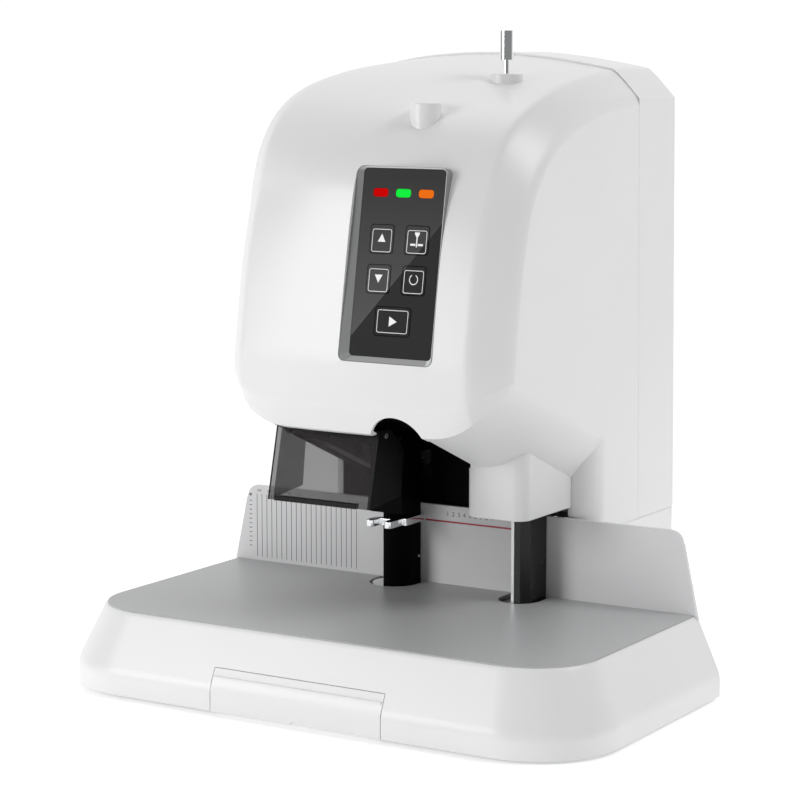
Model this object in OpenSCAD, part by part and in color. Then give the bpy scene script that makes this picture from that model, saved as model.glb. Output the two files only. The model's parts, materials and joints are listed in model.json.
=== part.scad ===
// Document riveting machine: drills a bundle of paper, then rivets a nylon tube through the hole.
// Origin: centre of the footprint on the desk. +Z up, operator stands on the -Y side. Millimetres.

/* [View] */
// Sub-part to build

/* [Base] */
// Overall width of the base
base_w = 400; // [392:2:430]
// Depth of the wide, low front part of the base
table_d = 203.5; // [201.5:1:205.5]
// Height of the table surface above the desk
table_h = 55; // [54:1:56]
// How far the sloped skirt steps in at the table
skirt_in = 17; // [14:1:18]
// Height of the upright band under the slope
band_h = 17; // [15:1:19]
// Corner radius of the base at the desk
corner_r = 58; // [50:1:62]

/* [Head] */
// Width of the head and column
head_w = 212; // [210:1:214]
// Wall thickness of the moulded covers
skin_t = 2.6; // [2.4:0.1:2.8]
// Width of the bevel that runs round the front face
bevel_w = 20; // [18:1:21]
// Slope of the head underside, fall per unit of depth
under_slope = 0.42; // [0.40:0.01:0.44]

/* [Stations] */
// Distance of the drilling axis in from the left side of the head
drill_inset = 65; // [64:0.5:66]
// Distance of the riveting axis in from the right side of the head
press_inset = 45; // [44.5:0.5:46]
// Distance of the drilling axis in front of the gauge
drill_margin = 11.5; // [11:0.5:12]
// Distance of the riveting axis in front of the gauge
press_margin = 16.5; // [16:0.5:17]
// Outside diameter of the hollow drill
bit_d = 6; // [4:0.5:6.5]
// Diameter of the riveting rod
rod_d = 8; // [7:0.5:9]

/* [Hidden] */
// running clearances, per side
run_fit = 0.03;
seam = 0.5;
foot_h = 2;
// footprint: the base reaches forward from the column, which stays in place
y_back = 165;
y_table = 38.5;
y_front = y_table - table_d;
half_w = base_w / 2;
half_h = head_w / 2;
drill_x = drill_inset - half_h;
press_x = half_h - press_inset;
gauge_t = 3;
gauge_y = y_table - gauge_t;
gauge_top = 110;
drill_y = gauge_y - drill_margin;
press_y = gauge_y - press_margin;
table_t = 3.5;
slot_gap = 2.4;
drill_r = 15;
press_r = 12;
// head landmarks
seam_y = 106;
seam_lean = 7;
col_y = gauge_y + gauge_t + 2.5;
col_r = 15;
col_z = 101;
face_x = half_h - bevel_w;
lip_z = 178;
mouth_x0 = drill_x - 11;
mouth_x1 = press_x - 9;
hood_x0 = press_x - 18;
hood_x1 = press_x + 27;
hood_y0 = -25;
hood_z = 117;
hood_t = 2.4;
// control points of the moulded head, [y, z] pairs from the lip up and back to the seam
crown_low = [[-100, 225], [-95, 262], [-91, 298], [-84, 332]];
crown_top = [[-84, 332], [-72, 380], [-26, 410], [120, 420]];
edge_low = [[-96, 225], [-90, 262], [-86, 300], [-72, 330]];
edge_top = [[-72, 330], [-58, 370], [-30, 402], [120, 409]];
side_low = [[-75, 217], [-70, 250], [-66, 285], [-56, 315]];
side_top = [[-56, 315], [-40, 354], [-10, 386], [120, 389]];
// the left shoulder is fuller than the right one
left_edge_top = [[-72, 330], [-64, 376], [-36, 410], [120, 413]];
left_side_top = [[-56, 315], [-48, 366], [-30, 411], [120, 404]];
// control panel
panel_tilt = 9.4;
panel_x = 30;
panel_y = -87.6;
panel_z = 288;
glass_w = 60.5;
glass_h = 120;
glass_t = 2;
frame_w = 6;
key_gap = 0.35;
key_w = 17;
key_h = 18;
start_w = 26;
start_h = 18;
led_w = 11;
led_h = 5.4;
// moving parts
lift = 56;
feed = 52;
carriage_y = 72;
rod_pitch = 42;
guide_d = 10;
screw_d = 10;
screw_y = 86;
shelf_z = 111;
top_z = 326;
upright_x = half_h - 12;
frame_y0 = 62;
frame_y1 = y_back - 17;
drawer_w = 129;
drawer_x = 1;
drawer_d = 118;
drawer_top = 30;
pivot_y = -70;
pivot_z = 174;
shield_face_y = -78;
shield_top = 178;
shield_x0 = drill_x - 28;
shield_x1 = drill_x + 51.5;
shield_t = 2.5;
shield_lean = 12;
shield_h = 50;
ear_r = 4.2;
// electrics on the back wall
inlet_x = -62;
switch_x = -30;

// colours
white_c = [0.90, 0.90, 0.89];
grey_c = [0.62, 0.63, 0.64];
pale_c = [0.78, 0.79, 0.79];
black_c = [0.07, 0.07, 0.08];
steel_c = [0.70, 0.71, 0.73];
chrome_c = [0.85, 0.86, 0.88];
brass_c = [0.80, 0.65, 0.35];
green_c = [0.10, 0.36, 0.22];
smoke_c = [0.38, 0.33, 0.33, 0.75];
silver_c = [0.60, 0.61, 0.63];
rubber_c = [0.12, 0.12, 0.12];
alu_c = [0.74, 0.75, 0.77];

// ---------- helpers ----------
module box(x0, x1, y0, y1, z0, z1) {
    translate([x0, y0, z0])
        cube([x1 - x0, y1 - y0, z1 - z0]);
}

module rod(x, y, z0, z1, d) {
    translate([x, y, z0])
        cylinder(h = z1 - z0, d = d, $fn = 48);
}

module round_rect(w, h, r) {
    translate([r - w / 2, r - h / 2])
        square([w - 2 * r, h - 2 * r]);
    for (p = [[-1, -1], [1, -1], [1, 1], [-1, 1]])
        translate([p[0] * (w / 2 - r), p[1] * (h / 2 - r)])
            circle(r = r, $fn = 32);
    translate([-w / 2, r - h / 2])
        square([w, h - 2 * r]);
    translate([r - w / 2, -h / 2])
        square([w - 2 * r, h]);
}

// table outline: straight back, round front corners; the back edge moves in by back_in
module base_outline(inset, r, back_in = 0) {
    w = half_w - inset;
    y0 = y_front + inset;
    difference() {
        union() {
            translate([-w + r, y0])
                square([2 * (w - r), y_table - y0]);
            translate([-w, y0 + r])
                square([2 * w, y_table - y0 - r]);
            for (s = [-1, 1])
                translate([s * (w - r), y0 + r])
                    circle(r = r, $fn = 96);
        }
        translate([-base_w, y_table - back_in])
            square([2 * base_w, 100]);
    }
}

// outside of the low base, lowered by t all round for the inside
module base_solid(t) {
    z0 = foot_h;
    zc = foot_h + band_h - 2;
    zt = table_h - 0.8;
    translate([0, 0, z0 - (t > 0 ? 1 : 0)])
        linear_extrude(zc - z0 + (t > 0 ? 1 : 0))
            base_outline(t, corner_r - t, t);
    hull() {
        translate([0, 0, zc])
            linear_extrude(0.01)
                base_outline(t, corner_r - t, t);
        translate([0, 0, zt - (t > 0 ? table_t - 0.8 : 0.01)])
            linear_extrude(0.01)
                base_outline(skirt_in + t, corner_r - 12 - t, t);
    }
}

// ---------- base ----------
module drawer_profile(t) {
    zc = foot_h + band_h - 2;
    zt = drawer_top - 0.4;
    lean = skirt_in * (zt - zc) / (table_h - 0.8 - zc);
    polygon([[y_front, foot_h], [y_front, zc], [y_front + lean, zt],
        [y_front + lean + t, zt], [y_front + t, zc], [y_front + t, foot_h]]);
}

module along_x(x0, x1) {
    translate([x0, 0, 0])
        rotate([90, 0, 90])
            linear_extrude(x1 - x0)
                children();
}

module base_shell() {
    color(white_c)
    difference() {
        base_solid(0);
        base_solid(skin_t);
        // recess for the table plate
        translate([0, 0, table_h - table_t])
            linear_extrude(10)
                base_outline(skirt_in + 1, corner_r - 14);
        // slot for the back gauge, open at both ends
        box(-base_w, base_w, gauge_y, y_table + 5, table_h - table_t, table_h + 5);
        // drawer opening
        box(drawer_x - drawer_w / 2, drawer_x + drawer_w / 2, y_front - 5, y_front + 15,
            -1, drawer_top);
        // open back, closed by the pedestal
        box(-half_h + skin_t, half_h - skin_t, y_table - 8, y_table + 5, foot_h + 2, 60);
    }
    // drawer runners
    color(white_c)
    for (s = [-1, 1])
        box(drawer_x + s * (drawer_w / 2 + 1.3) - 2.5, drawer_x + s * (drawer_w / 2 + 1.3) + 2.5,
            y_front + 16, y_front + 130, foot_h + 1.6, drawer_top + 2);
}

module station_slots(z0, z1) {
    for (s = [[drill_x, drill_y, drill_r], [press_x, press_y, press_r]]) {
        translate([s[0], s[1], z0])
            cylinder(h = z1 - z0, r = s[2] + slot_gap, $fn = 96);
        box(s[0] - s[2] - slot_gap, s[0] + s[2] + slot_gap, s[1], y_table + 5, z0, z1);
    }
}

module table_plate() {
    color(grey_c)
    difference() {
        translate([0, 0, table_h - table_t])
            linear_extrude(table_t)
                base_outline(skirt_in + 1.3, corner_r - 14.3);
        station_slots(table_h - table_t - 1, table_h + 1);
        box(-base_w, base_w, gauge_y, y_table + 5, table_h - table_t - 1, table_h + 1);
    }
}

module bottom_plate() {
    color(steel_c)
    difference() {
        translate([0, 0, foot_h])
            linear_extrude(1.6)
                base_outline(skin_t + 0.3, corner_r - skin_t - 0.3, skin_t + 0.3);
        // cut away under the drawer front so it can slide out
        box(drawer_x - drawer_w / 2 - 0.5, drawer_x + drawer_w / 2 + 0.5, y_front - 5,
            y_front + 14, 0, 10);
        for (x = [-150, -100, 100, 150])
            rod(x, -40, 0, 10, 3.2);
    }
}

module rubber_feet() {
    color(rubber_c)
    for (x = [50 - half_w, half_w - 50])
        for (y = [y_front + 55, 15])
            difference() {
                translate([x, y, 0])
                    cylinder(h = foot_h, r1 = 8.5, r2 = 9.5, $fn = 48);
                rod(x, y, -1, 0.8, 5);
            }
    color(rubber_c)
    for (x = [-75, 75])
        translate([x, y_back - 25, 0])
            cylinder(h = foot_h, r1 = 8.5, r2 = 9.5, $fn = 48);
}

module pedestal() {
    x1 = half_h - 1.2;
    color(white_c)
    difference() {
        box(-x1, x1, y_table, y_back - 1.5, foot_h, col_z - 0.4);
        box(-x1 + skin_t, x1 - skin_t, y_table + skin_t, y_back - 1.5 - skin_t, foot_h + skin_t, 120);
        // passage from the column into the base
        box(-90, 90, y_table - 5, y_table + 5, foot_h + skin_t, 46);
        // inlet and switch cut-outs at the back
        box(inlet_x - 14, inlet_x + 14, y_back - 10, y_back, 24, 44);
        box(switch_x - 7, switch_x + 7, y_back - 10, y_back, 26.5, 41.5);
        // cooling slots
        for (i = [0:7])
            box(-8 + i * 9, -4 + i * 9, y_back - 10, y_back, 58, 84);
    }
}

// ruled plate that stands in a slot at the back edge of the table
module back_gauge() {
    z0 = table_h - table_t;
    w0 = half_w - 15.5;
    w1 = half_w - 28;
    r = 9;
    color(pale_c)
    translate([0, gauge_y + gauge_t, 0])
        rotate([90, 0, 0])
            linear_extrude(gauge_t)
                difference() {
                    union() {
                        polygon([[-w0, z0], [w0, z0], [w1 + 1.6, gauge_top - r],
                            [w1 - r, gauge_top], [-w1 + r, gauge_top], [-w1 - 1.6, gauge_top - r]]);
                        for (s = [-1, 1])
                            translate([s * (w1 - r + 1), gauge_top - r])
                                circle(r = r, $fn = 48);
                    }
                    translate([-base_w, gauge_top])
                        square([2 * base_w, 20]);
                }
}

// ---------- moulded head ----------
function bez(p, t) = p[0] * pow(1 - t, 3) + 3 * p[1] * t * pow(1 - t, 2)
    + 3 * p[2] * t * t * (1 - t) + p[3] * pow(t, 3);
n_low = 7;
n_top = 11;
function run(low, top) = concat([for (i = [0:n_low]) bez(low, i / n_low)],
    [for (i = [1:n_top]) bez(top, i / n_top)]);
crown_run = run(crown_low, crown_top);
edge_run = run(edge_low, edge_top);
side_run = run(side_low, side_top);
left_edge_run = run(edge_low, left_edge_top);
left_side_run = run(side_low, left_side_top);
function mix_runs(a, b, k) = [for (i = [0:len(a) - 1]) a[i] * (1 - k) + b[i] * k];
function run_at(x) = let (
        a = abs(x),
        edge = x < 0 ? left_edge_run : edge_run,
        side = x < 0 ? left_side_run : side_run)
    a <= face_x
    ? mix_runs(crown_run, edge, pow(a / face_x, x < 0 ? 2.6 : 1.5))
    : mix_runs(edge, side, pow((a - face_x) / bevel_w, 1.25));
function lift_at(a) = a <= 50 ? 0 : 36 * pow((a - 50) / (half_h - 50), 2.6);
function fillet_at(a) = a <= half_h - col_r
    ? 0 : col_r - sqrt(max(0, pow(col_r, 2) - pow(a - half_h + col_r, 2)));
// closed [y, z] outline of the head at sideways place x
function ring(x) = let (
        a = min(abs(x), half_h),
        r = run_at(x < 0 ? -a : a),
        zl = lip_z + lift_at(a),
        h = max(3, r[0][1] - zl),
        k = min(1, h / 30),
        yf = r[0][0],
        yc = col_y + fillet_at(a),
        zc = zl - under_slope * (yc - yf - 8 * k))
    concat(
        [[yc, col_z], [yc, zc]],
        [for (i = [3:-1:1]) [yf + 8 * k + (yc - yf - 8 * k) * i / 4,
            zl + (zc - zl) * i / 4]],
        [[yf + 8 * k, zl], [yf + 2.6 * k, zl + 0.10 * h], [yf - 0.4 * k, zl + 0.42 * h],
            [yf - 0.4 * k, zl + 0.72 * h]],
        r,
        [[120, col_z]]);
// the same outline moved inward by t, running past the seam and past the bottom
function inner_ring(x, t) = let (
        p = ring(x),
        n = len(p))
    [for (i = [0:n - 1]) let (
            d = p[(i + 1) % n] - p[(i + n - 1) % n],
            l = norm(d),
            q = [p[i][0] + t * d[1] / l, p[i][1] - t * d[0] / l])
        i == 0 ? [p[0][0] + t, col_z - 10]
        : i == 1 ? [p[1][0] + t, p[1][1] + t * 1.1]
        : i == n - 2 ? [130, p[i][1] - t]
        : i == n - 1 ? [130, col_z - 10]
        : q];

face_k = face_x / half_h;
function stations(w) = [for (k = [-1, -0.985, -0.96, -0.92, -0.88, -0.845, -face_k, -0.7, -0.55,
    -0.35, -0.12, 0.12, 0.35, 0.55, 0.7, face_k, 0.845, 0.88, 0.92, 0.96, 0.985, 1]) k * w];

// skins a row of equal rings lying across x, and closes both ends with a fan
module loft(xs, rings) {
    n = len(rings[0]);
    m = len(xs);
    hub = [78, 215];
    polyhedron(
        points = concat(
            [for (j = [0:m - 1]) for (i = [0:n - 1]) [xs[j], rings[j][i][0], rings[j][i][1]]],
            [[xs[0], hub[0], hub[1]], [xs[m - 1], hub[0], hub[1]]]),
        faces = concat(
            [for (j = [0:m - 2]) for (i = [0:n - 1])
                [j * n + i, j * n + (i + 1) % n, (j + 1) * n + (i + 1) % n]],
            [for (j = [0:m - 2]) for (i = [0:n - 1])
                [j * n + i, (j + 1) * n + (i + 1) % n, (j + 1) * n + i]],
            [for (i = [0:n - 1]) [(i + 1) % n, i, m * n]],
            [for (i = [0:n - 1]) [(m - 1) * n + i, (m - 1) * n + (i + 1) % n, m * n + 1]]));
}

module head_solid() {
    xs = stations(half_h);
    loft(xs, [for (x = xs) ring(x)]);
}

module head_inside(t) {
    xs = stations(half_h);
    xi = stations(half_h - t);
    loft(xi, [for (x = xs) inner_ring(x, t)]);
}

// everything behind the leaning seam between front and rear covers
module behind_seam(g) {
    multmatrix([[1, 0, 0, 0], [0, 1, -seam_lean / 310, seam_y + seam_lean / 310 * col_z + g], [0, 0, 1, 0]])
        box(-200, 200, 0, 200, 50, 500);
}

shield_back_y = shield_face_y + 34;
module mouth_cut() {
    box(mouth_x0, mouth_x1, -84, hood_y0 - 0.01, 80, 190);
    box(mouth_x0, hood_x0, hood_y0 - 0.02, col_y + 6, 80, 182);
    box(hood_x0 - 1, hood_x1 - hood_t, hood_y0 + hood_t, col_y + 6, 80, 182);
    // room for the swinging shield
    box(shield_x0 - 3, shield_x1 + 1.5, -88, shield_back_y, 80, 190);
}

module head_cover() {
    color(white_c)
    difference() {
        head_solid();
        head_inside(skin_t);
        behind_seam(0);
        mouth_cut();
        // thumb notch in the lip
        translate([panel_x + 1, -60, 170.5])
            rotate([90, 0, 0])
                cylinder(h = 60, r = 20, $fn = 64);
        // recess for the control panel
        on_panel()
            translate([0, 0, -13])
                linear_extrude(35)
                    round_rect(glass_w + 2 * frame_w, glass_h + 2 * frame_w, 5);
        // holes for the two top spouts
        rod(front_spout_x, front_spout_y, 340, 430, front_spout_d);
        rod(needle_x, needle_y, 340, 430, needle_spout_d);
    }
}

module rear_cover() {
    color(white_c)
    difference() {
        rear_block(0);
        rear_block(skin_t);
        // vent grille high at the back
        for (i = [0:9])
            box(-60 + i * 12.6, -54 + i * 12.6, y_back - 30, y_back + 5, 330, 360);
        // pockets for the screw heads
        at_cover_screws()
            cylinder(h = 6, d = 7.2, $fn = 32);
    }
}

module rear_block(t) {
    xs = stations(half_h - t);
    xo = stations(half_h);
    top = [for (j = [0:len(xs) - 1]) let (p = ring(xo[j])) [xs[j], p[len(p) - 2][1] - t]];
    z0 = t > 0 ? col_z - 5 : col_z;
    y0 = t > 0 ? -10 : seam;
    sec = concat([[xs[0], z0]], top, [[xs[len(xs) - 1], z0]]);
    n = len(sec);
    k = seam_lean / 310;
    depths = [[y0, 0], [y_back - seam_y - 4 - t, 0], [y_back - seam_y - t, 3.5]];
    hub_z = 240;
    polyhedron(
        points = concat(
            [for (d = depths) for (p = sec)
                [p[0] * (1 - d[1] / half_h), seam_y + d[0] - k * (p[1] - col_z),
                    p[1] - (p[1] > 200 ? d[1] : 0)]],
            [for (d = [depths[0], depths[2]]) [0, seam_y + d[0] - k * (hub_z - col_z), hub_z]]),
        faces = concat(
            [for (j = [0:1]) for (i = [0:n - 1])
                [j * n + i, (j + 1) * n + i, (j + 1) * n + (i + 1) % n]],
            [for (j = [0:1]) for (i = [0:n - 1])
                [j * n + i, (j + 1) * n + (i + 1) % n, j * n + (i + 1) % n]],
            [for (i = [0:n - 1]) [i, (i + 1) % n, 3 * n]],
            [for (i = [0:n - 1]) [2 * n + (i + 1) % n, 2 * n + i, 3 * n + 1]]));
}

module hood_outline(t) {
    r = 9 - t;
    x0 = hood_x0 + t;
    x1 = hood_x1 - t;
    y0 = hood_y0 + t;
    y1 = t > 0 ? col_y + 10 : col_y;
    for (x = [x0 + r, x1 - r])
        translate([x, y0 + r])
            circle(r = r, $fn = 48);
    translate([x0 + r, y0])
        square([x1 - x0 - 2 * r, y1 - y0]);
    translate([x0, y0 + r])
        square([x1 - x0, y1 - y0 - r]);
}

module press_hood() {
    color(white_c)
    difference() {
        translate([0, 0, hood_z])
            linear_extrude(70)
                hood_outline(0);
        translate([0, 0, hood_z - 1])
            linear_extrude(80)
                hood_outline(hood_t);
        head_solid();
    }
}

module throat_liner() {
    t = 2;
    z1 = 160;
    // front edge of the ceiling, low enough to clear the motor pulley at full feed
    z2 = 196.5;
    color(black_c)
    difference() {
        union() {
            // sloping ceiling and back wall in one folded sheet
            along_x(mouth_x0 + 0.6, mouth_x1 - 0.6)
                polygon([[-83, z2], [col_y + 5 - t, z1 - 6], [col_y + 5 - t, col_z + 1],
                    [col_y + 5, col_z + 1], [col_y + 5, z1 - 6 + t], [-83, z2 + t]]);
            // shield hinge ears, their stems behind the sweep of the shield's top edge
            for (x = [shield_x0 + shield_t + 0.7, shield_x1 - shield_t - 3.3])
                difference() {
                    union() {
                        translate([x, pivot_y, pivot_z])
                            rotate([0, 90, 0])
                                cylinder(h = 2.6, r = ear_r, $fn = 48);
                        box(x, x + 2.6, pivot_y - 0.4, pivot_y + ear_r, pivot_z, 194.5);
                    }
                    translate([x - 5, pivot_y, pivot_z])
                        rotate([0, 90, 0])
                            cylinder(h = 20, d = 4, $fn = 32);
                }
            // pocket over the left end of the shield
            along_x(shield_x0 - 2.7, mouth_x0 + 2)
                polygon([[-86, 199], [shield_back_y - 2.3, 185.7], [shield_back_y - 2.3, 164],
                    [shield_back_y - 0.3, 164], [shield_back_y - 0.3, 187.5], [-86, 201]]);
            along_x(shield_x0 - 2.7, shield_x0 - 1.5)
                polygon([[-86, 184], [shield_back_y - 2.3, 166], [shield_back_y - 2.3, 187],
                    [-86, 200]]);
        }
        // openings for the tool heads
        box(drill_x - 20, drill_x + 21, -12, col_y + 3 - t, 80, 220);
        box(drill_x - 17, drill_x + 17, col_y, col_y + 8, 128, 220);
        box(hood_x0 - 2, press_x + 19, hood_y0 - 2, col_y + 8, 80, 220);
    }
}

// ---------- top spouts and needle ----------
front_spout_x = 27;
front_spout_y = -48;
front_spout_z = 388;
front_spout_d = 20;
needle_x = 49.5;
needle_y = 17;
needle_z = 406;
needle_spout_d = 22;
needle_d = 3;
needle_step = 8;

module front_spout() {
    color(white_c)
    difference() {
        rod(front_spout_x, front_spout_y, front_spout_z - 26, front_spout_z, front_spout_d - 0.2);
        rod(front_spout_x, front_spout_y, front_spout_z - 30, front_spout_z + 1, 9);
    }
}

// the needle's collar rests on the step in the bore
module needle_spout() {
    color(white_c)
    difference() {
        rod(needle_x, needle_y, needle_z - 22, needle_z, needle_spout_d - 0.2);
        rod(needle_x, needle_y, needle_z - 30, needle_z + 1, needle_d + 0.6);
        rod(needle_x, needle_y, needle_z - needle_step, needle_z + 1, 6.6);
    }
}

module cleaning_needle() {
    color(chrome_c)
    union() {
        rod(needle_x, needle_y, needle_z - 84, needle_z + 10, needle_d);
        rod(needle_x, needle_y, needle_z - needle_step, needle_z - 3, 6);
        rod(needle_x, needle_y, needle_z + 9, needle_z + 28, 8.4);
        translate([needle_x, needle_y, needle_z - 90])
            cylinder(h = 6.5, d1 = 0.8, d2 = needle_d, $fn = 32);
    }
}

// ---------- control panel ----------
module on_panel() {
    translate([panel_x, panel_y, panel_z])
        rotate([90 - panel_tilt, 0, 0])
            children();
}

key_dx = 13;
key_y1 = 15;
key_y2 = -10.5;
start_y = -37;
led_y = 44.5;
led_dx = 16.8;
// [x, y, width, height] of each key on the panel
keys = [[-key_dx, key_y1, key_w, key_h], [key_dx, key_y1, key_w, key_h],
    [-key_dx, key_y2, key_w, key_h], [key_dx, key_y2, key_w, key_h],
    [0, start_y, start_w, start_h]];

module panel_bezel() {
    color(silver_c)
    on_panel()
        difference() {
            translate([0, 0, -7])
                linear_extrude(7.4)
                    round_rect(glass_w + 2 * frame_w - 0.2, glass_h + 2 * frame_w - 0.2, 4.9);
            translate([0, 0, -glass_t])
                linear_extrude(5)
                    round_rect(glass_w + 0.3, glass_h + 0.3, 3);
            translate([0, 0, -9])
                linear_extrude(12)
                    round_rect(glass_w - 6, glass_h - 6, 2);
        }
}

module panel_overlay() {
    color(black_c)
    on_panel()
        difference() {
            translate([0, 0, -glass_t])
                linear_extrude(glass_t)
                    round_rect(glass_w, glass_h, 2.8);
            for (k = keys)
                translate([k[0], k[1], -5])
                    linear_extrude(10)
                        round_rect(k[2] + 2 * key_gap, k[3] + 2 * key_gap, 2.2);
            for (i = [-1:1])
                translate([i * led_dx, led_y, -5])
                    linear_extrude(10)
                        round_rect(led_w, led_h, 2);
        }
}

module led(i) {
    on_panel()
        translate([i * led_dx, led_y, 0]) {
            translate([0, 0, -glass_t - 1.4])
                linear_extrude(glass_t + 1.6)
                    round_rect(led_w - 0.2, led_h - 0.2, 1.9);
            translate([0, 0, -8])
                cylinder(h = 7, d = 4.6, $fn = 32);
        }
}

module led_red() {
    color([0.85, 0.12, 0.10])
    led(-1);
}

module led_green() {
    color([0.20, 0.75, 0.25])
    led(0);
}

module led_orange() {
    color([0.95, 0.50, 0.10])
    led(1);
}

module key_cap(i) {
    k = keys[i];
    on_panel()
        translate([k[0], k[1], 0]) {
            translate([0, 0, -glass_t])
                linear_extrude(glass_t + 0.15)
                    round_rect(k[2], k[3], 2);
            translate([0, 0, -7.3])
                cylinder(h = 6, d = 6, $fn = 32);
        }
}

module key_up() {
    color(black_c)
    key_cap(0);
}

module key_rivet() {
    color(black_c)
    key_cap(1);
}

module key_down() {
    color(black_c)
    key_cap(2);
}

module key_reset() {
    color(black_c)
    key_cap(3);
}

module key_start() {
    color(black_c)
    key_cap(4);
}

module keypad_board() {
    color(green_c)
    on_panel() {
        difference() {
            translate([0, 0, -12])
                linear_extrude(1.6)
                    round_rect(glass_w + 4, glass_h + 2, 2);
            for (s = [-1, 1])
                for (v = [-1, 1])
                    translate([s * 29, v * 57, -15])
                        cylinder(h = 10, d = 3, $fn = 24);
        }
        // key switches and lamp holders
        for (k = keys)
            translate([k[0] - 4, k[1] - 4, -10.4])
                cube([8, 8, 2.3]);
        for (i = [-1:1])
            translate([i * led_dx - 3, led_y - 3, -10.4])
                cube([6, 6, 2.4]);
        for (s = [-1, 1])
            for (v = [-1, 1])
                translate([s * 29, v * 57, -10.4])
                    difference() {
                        cylinder(h = 3.4, d = 6, $fn = 32);
                        translate([0, 0, -1])
                            cylinder(h = 6, d = 3, $fn = 24);
                    }
    }
}

// ---------- steel frame ----------
module frame_uprights() {
    color(steel_c)
    for (s = [-1, 1]) {
        difference() {
            box(s * upright_x - 3, s * upright_x + 3, frame_y0, frame_y1, 6, top_z);
            translate([s * upright_x - 10, (frame_y0 + frame_y1) / 2, 220])
                rotate([0, 90, 0])
                    cylinder(h = 20, d = 44, $fn = 64);
            translate([s * upright_x - 10, (frame_y0 + frame_y1) / 2, 160])
                rotate([0, 90, 0])
                    cylinder(h = 20, d = 30, $fn = 64);
        }
        difference() {
            box(s * (upright_x - 10) - 13, s * (upright_x - 10) + 13, frame_y0, frame_y1,
                foot_h + skin_t, 6 + skin_t);
            for (y = [frame_y0 + 10, frame_y1 - 10])
                rod(s * (upright_x - 12), y, 0, 20, 5);
        }
    }
}

module plate_with_rods(z0, z1, y0, reach) {
    difference() {
        box(-reach, reach, y0, frame_y1, z0, z1);
        for (x = [drill_x, press_x]) {
            for (s = [-1, 1])
                rod(x + s * rod_pitch / 2, carriage_y, z0 - 1, z1 + 1, guide_d);
            rod(x, screw_y, z0 - 1, z1 + 1, screw_d + 2 * run_fit);
        }
    }
}

module rod_shelf() {
    color(steel_c)
    plate_with_rods(shelf_z, shelf_z + 6, frame_y0 - 8, upright_x - 3.2);
}

module top_plate() {
    color(steel_c)
    plate_with_rods(top_z, top_z + 5, frame_y0 - 2, upright_x + 3);
}

module rods_of(x) {
    for (s = [-1, 1])
        rod(x + s * rod_pitch / 2, carriage_y, shelf_z, top_z + 5, guide_d);
}

module drill_guide_rods() {
    color(chrome_c)
    rods_of(drill_x);
}

module press_guide_rods() {
    color(chrome_c)
    rods_of(press_x);
}

module lift_screw(x) {
    union() {
        rod(x, screw_y, shelf_z - 3, top_z + 20, screw_d);
        // coupling to the motor shaft
        difference() {
            rod(x, screw_y, top_z + 6, top_z + 26, 19);
            rod(x, screw_y, top_z + 20, top_z + 30, 6.4);
        }
        // thrust collar
        rod(x, screw_y, shelf_z + 6.3, shelf_z + 12, 16);
    }
}

module drill_lift_screw() {
    color(steel_c)
    lift_screw(drill_x);
}

module press_lift_screw() {
    color(steel_c)
    lift_screw(press_x);
}

motor_z = top_z + 28;
module lift_motors() {
    color([0.22, 0.22, 0.24])
    for (x = [drill_x, press_x]) {
        difference() {
            box(x - 21, x + 21, screw_y - 21, screw_y + 21, motor_z, motor_z + 38);
            for (a = [-1, 1])
                for (b = [-1, 1])
                    rod(x + a * 15.5, screw_y + b * 15.5, motor_z - 1, motor_z + 4.5, 3);
        }
        rod(x, screw_y, motor_z - 7, motor_z + 1, 6.2);
        // standoffs on the top plate
        for (a = [-1, 1])
            for (b = [-1, 1])
                rod(x + a * 18, screw_y + b * 18, top_z + 5, motor_z, 5);
    }
}

// ---------- drilling head ----------
guard_z0 = table_h - 1.7;
guard_z1 = 106;
guard_t = 2.4;
guard_back_t = 1.7;
nose_z1 = 168;
module guard_plan(r, t) {
    // half a sleeve, open to the left, running back as a straight wall
    back = drill_margin - 1.2;
    difference() {
        union() {
            circle(r = r, $fn = 96);
            square([r, back]);
        }
        difference() {
            circle(r = r - t, $fn = 96);
            translate([-40, 0])
                square([80, 40]);
        }
        translate([-1, -0.01])
            square([r - t + 1, back - guard_back_t]);
        translate([-40, -40])
            square([40, 80]);
        translate([-40, back])
            square([80, 40]);
    }
}

module drill_guard() {
    color(black_c)
    translate([drill_x, drill_y, guard_z0])
        linear_extrude(guard_z1 - guard_z0)
            guard_plan(drill_r, guard_t);
}

fork_z0 = 98;
fork_z1 = 103;
fork_dx = 7.2;
module guard_fork() {
    color(chrome_c)
    difference() {
        union() {
            for (s = [-1, 1]) {
                box(drill_x + 4.6 + s * fork_dx - 2.8, drill_x + 4.6 + s * fork_dx + 2.8, -3, drill_y - drill_r + 3,
                    fork_z0, fork_z1);
                rod(drill_x + 4.6 + s * fork_dx, -3, fork_z0, fork_z1, 5.6);
            }
            box(drill_x + 4.6 - fork_dx - 2.8, drill_x + 4.6 + fork_dx + 2.8, 4, drill_y - 10, fork_z0, fork_z1);
            box(drill_x + drill_r + 0.05, drill_x + drill_r + 3, drill_y - 12, drill_y + 10, fork_z0, fork_z1);
            box(drill_x + 10, drill_x + drill_r + 3, drill_y - 14, drill_y - 10, fork_z0, fork_z1);
        }
        // the guard passes through
        translate([drill_x, drill_y, fork_z0 - 1])
            cylinder(h = 10, r = drill_r + 0.02, $fn = 96);
    }
}

quill_d = 16;
module drill_nose() {
    color(black_c)
    difference() {
        union() {
            box(mouth_x0 + 0.4, drill_x + drill_r, drill_y - 15, drill_y + drill_margin - 1.2,
                guard_z1, nose_z1 - 8);
            box(drill_x - 14, drill_x + 14, drill_y - 10, carriage_y - 9, nose_z1 - 22, nose_z1);
        }
        rod(drill_x, drill_y, guard_z1 - 1, nose_z1 + 1, quill_d + 2 * run_fit);
        at_quill_rods(nose_z1 - 12, nose_z1 + 1, 6);
    }
}

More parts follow.
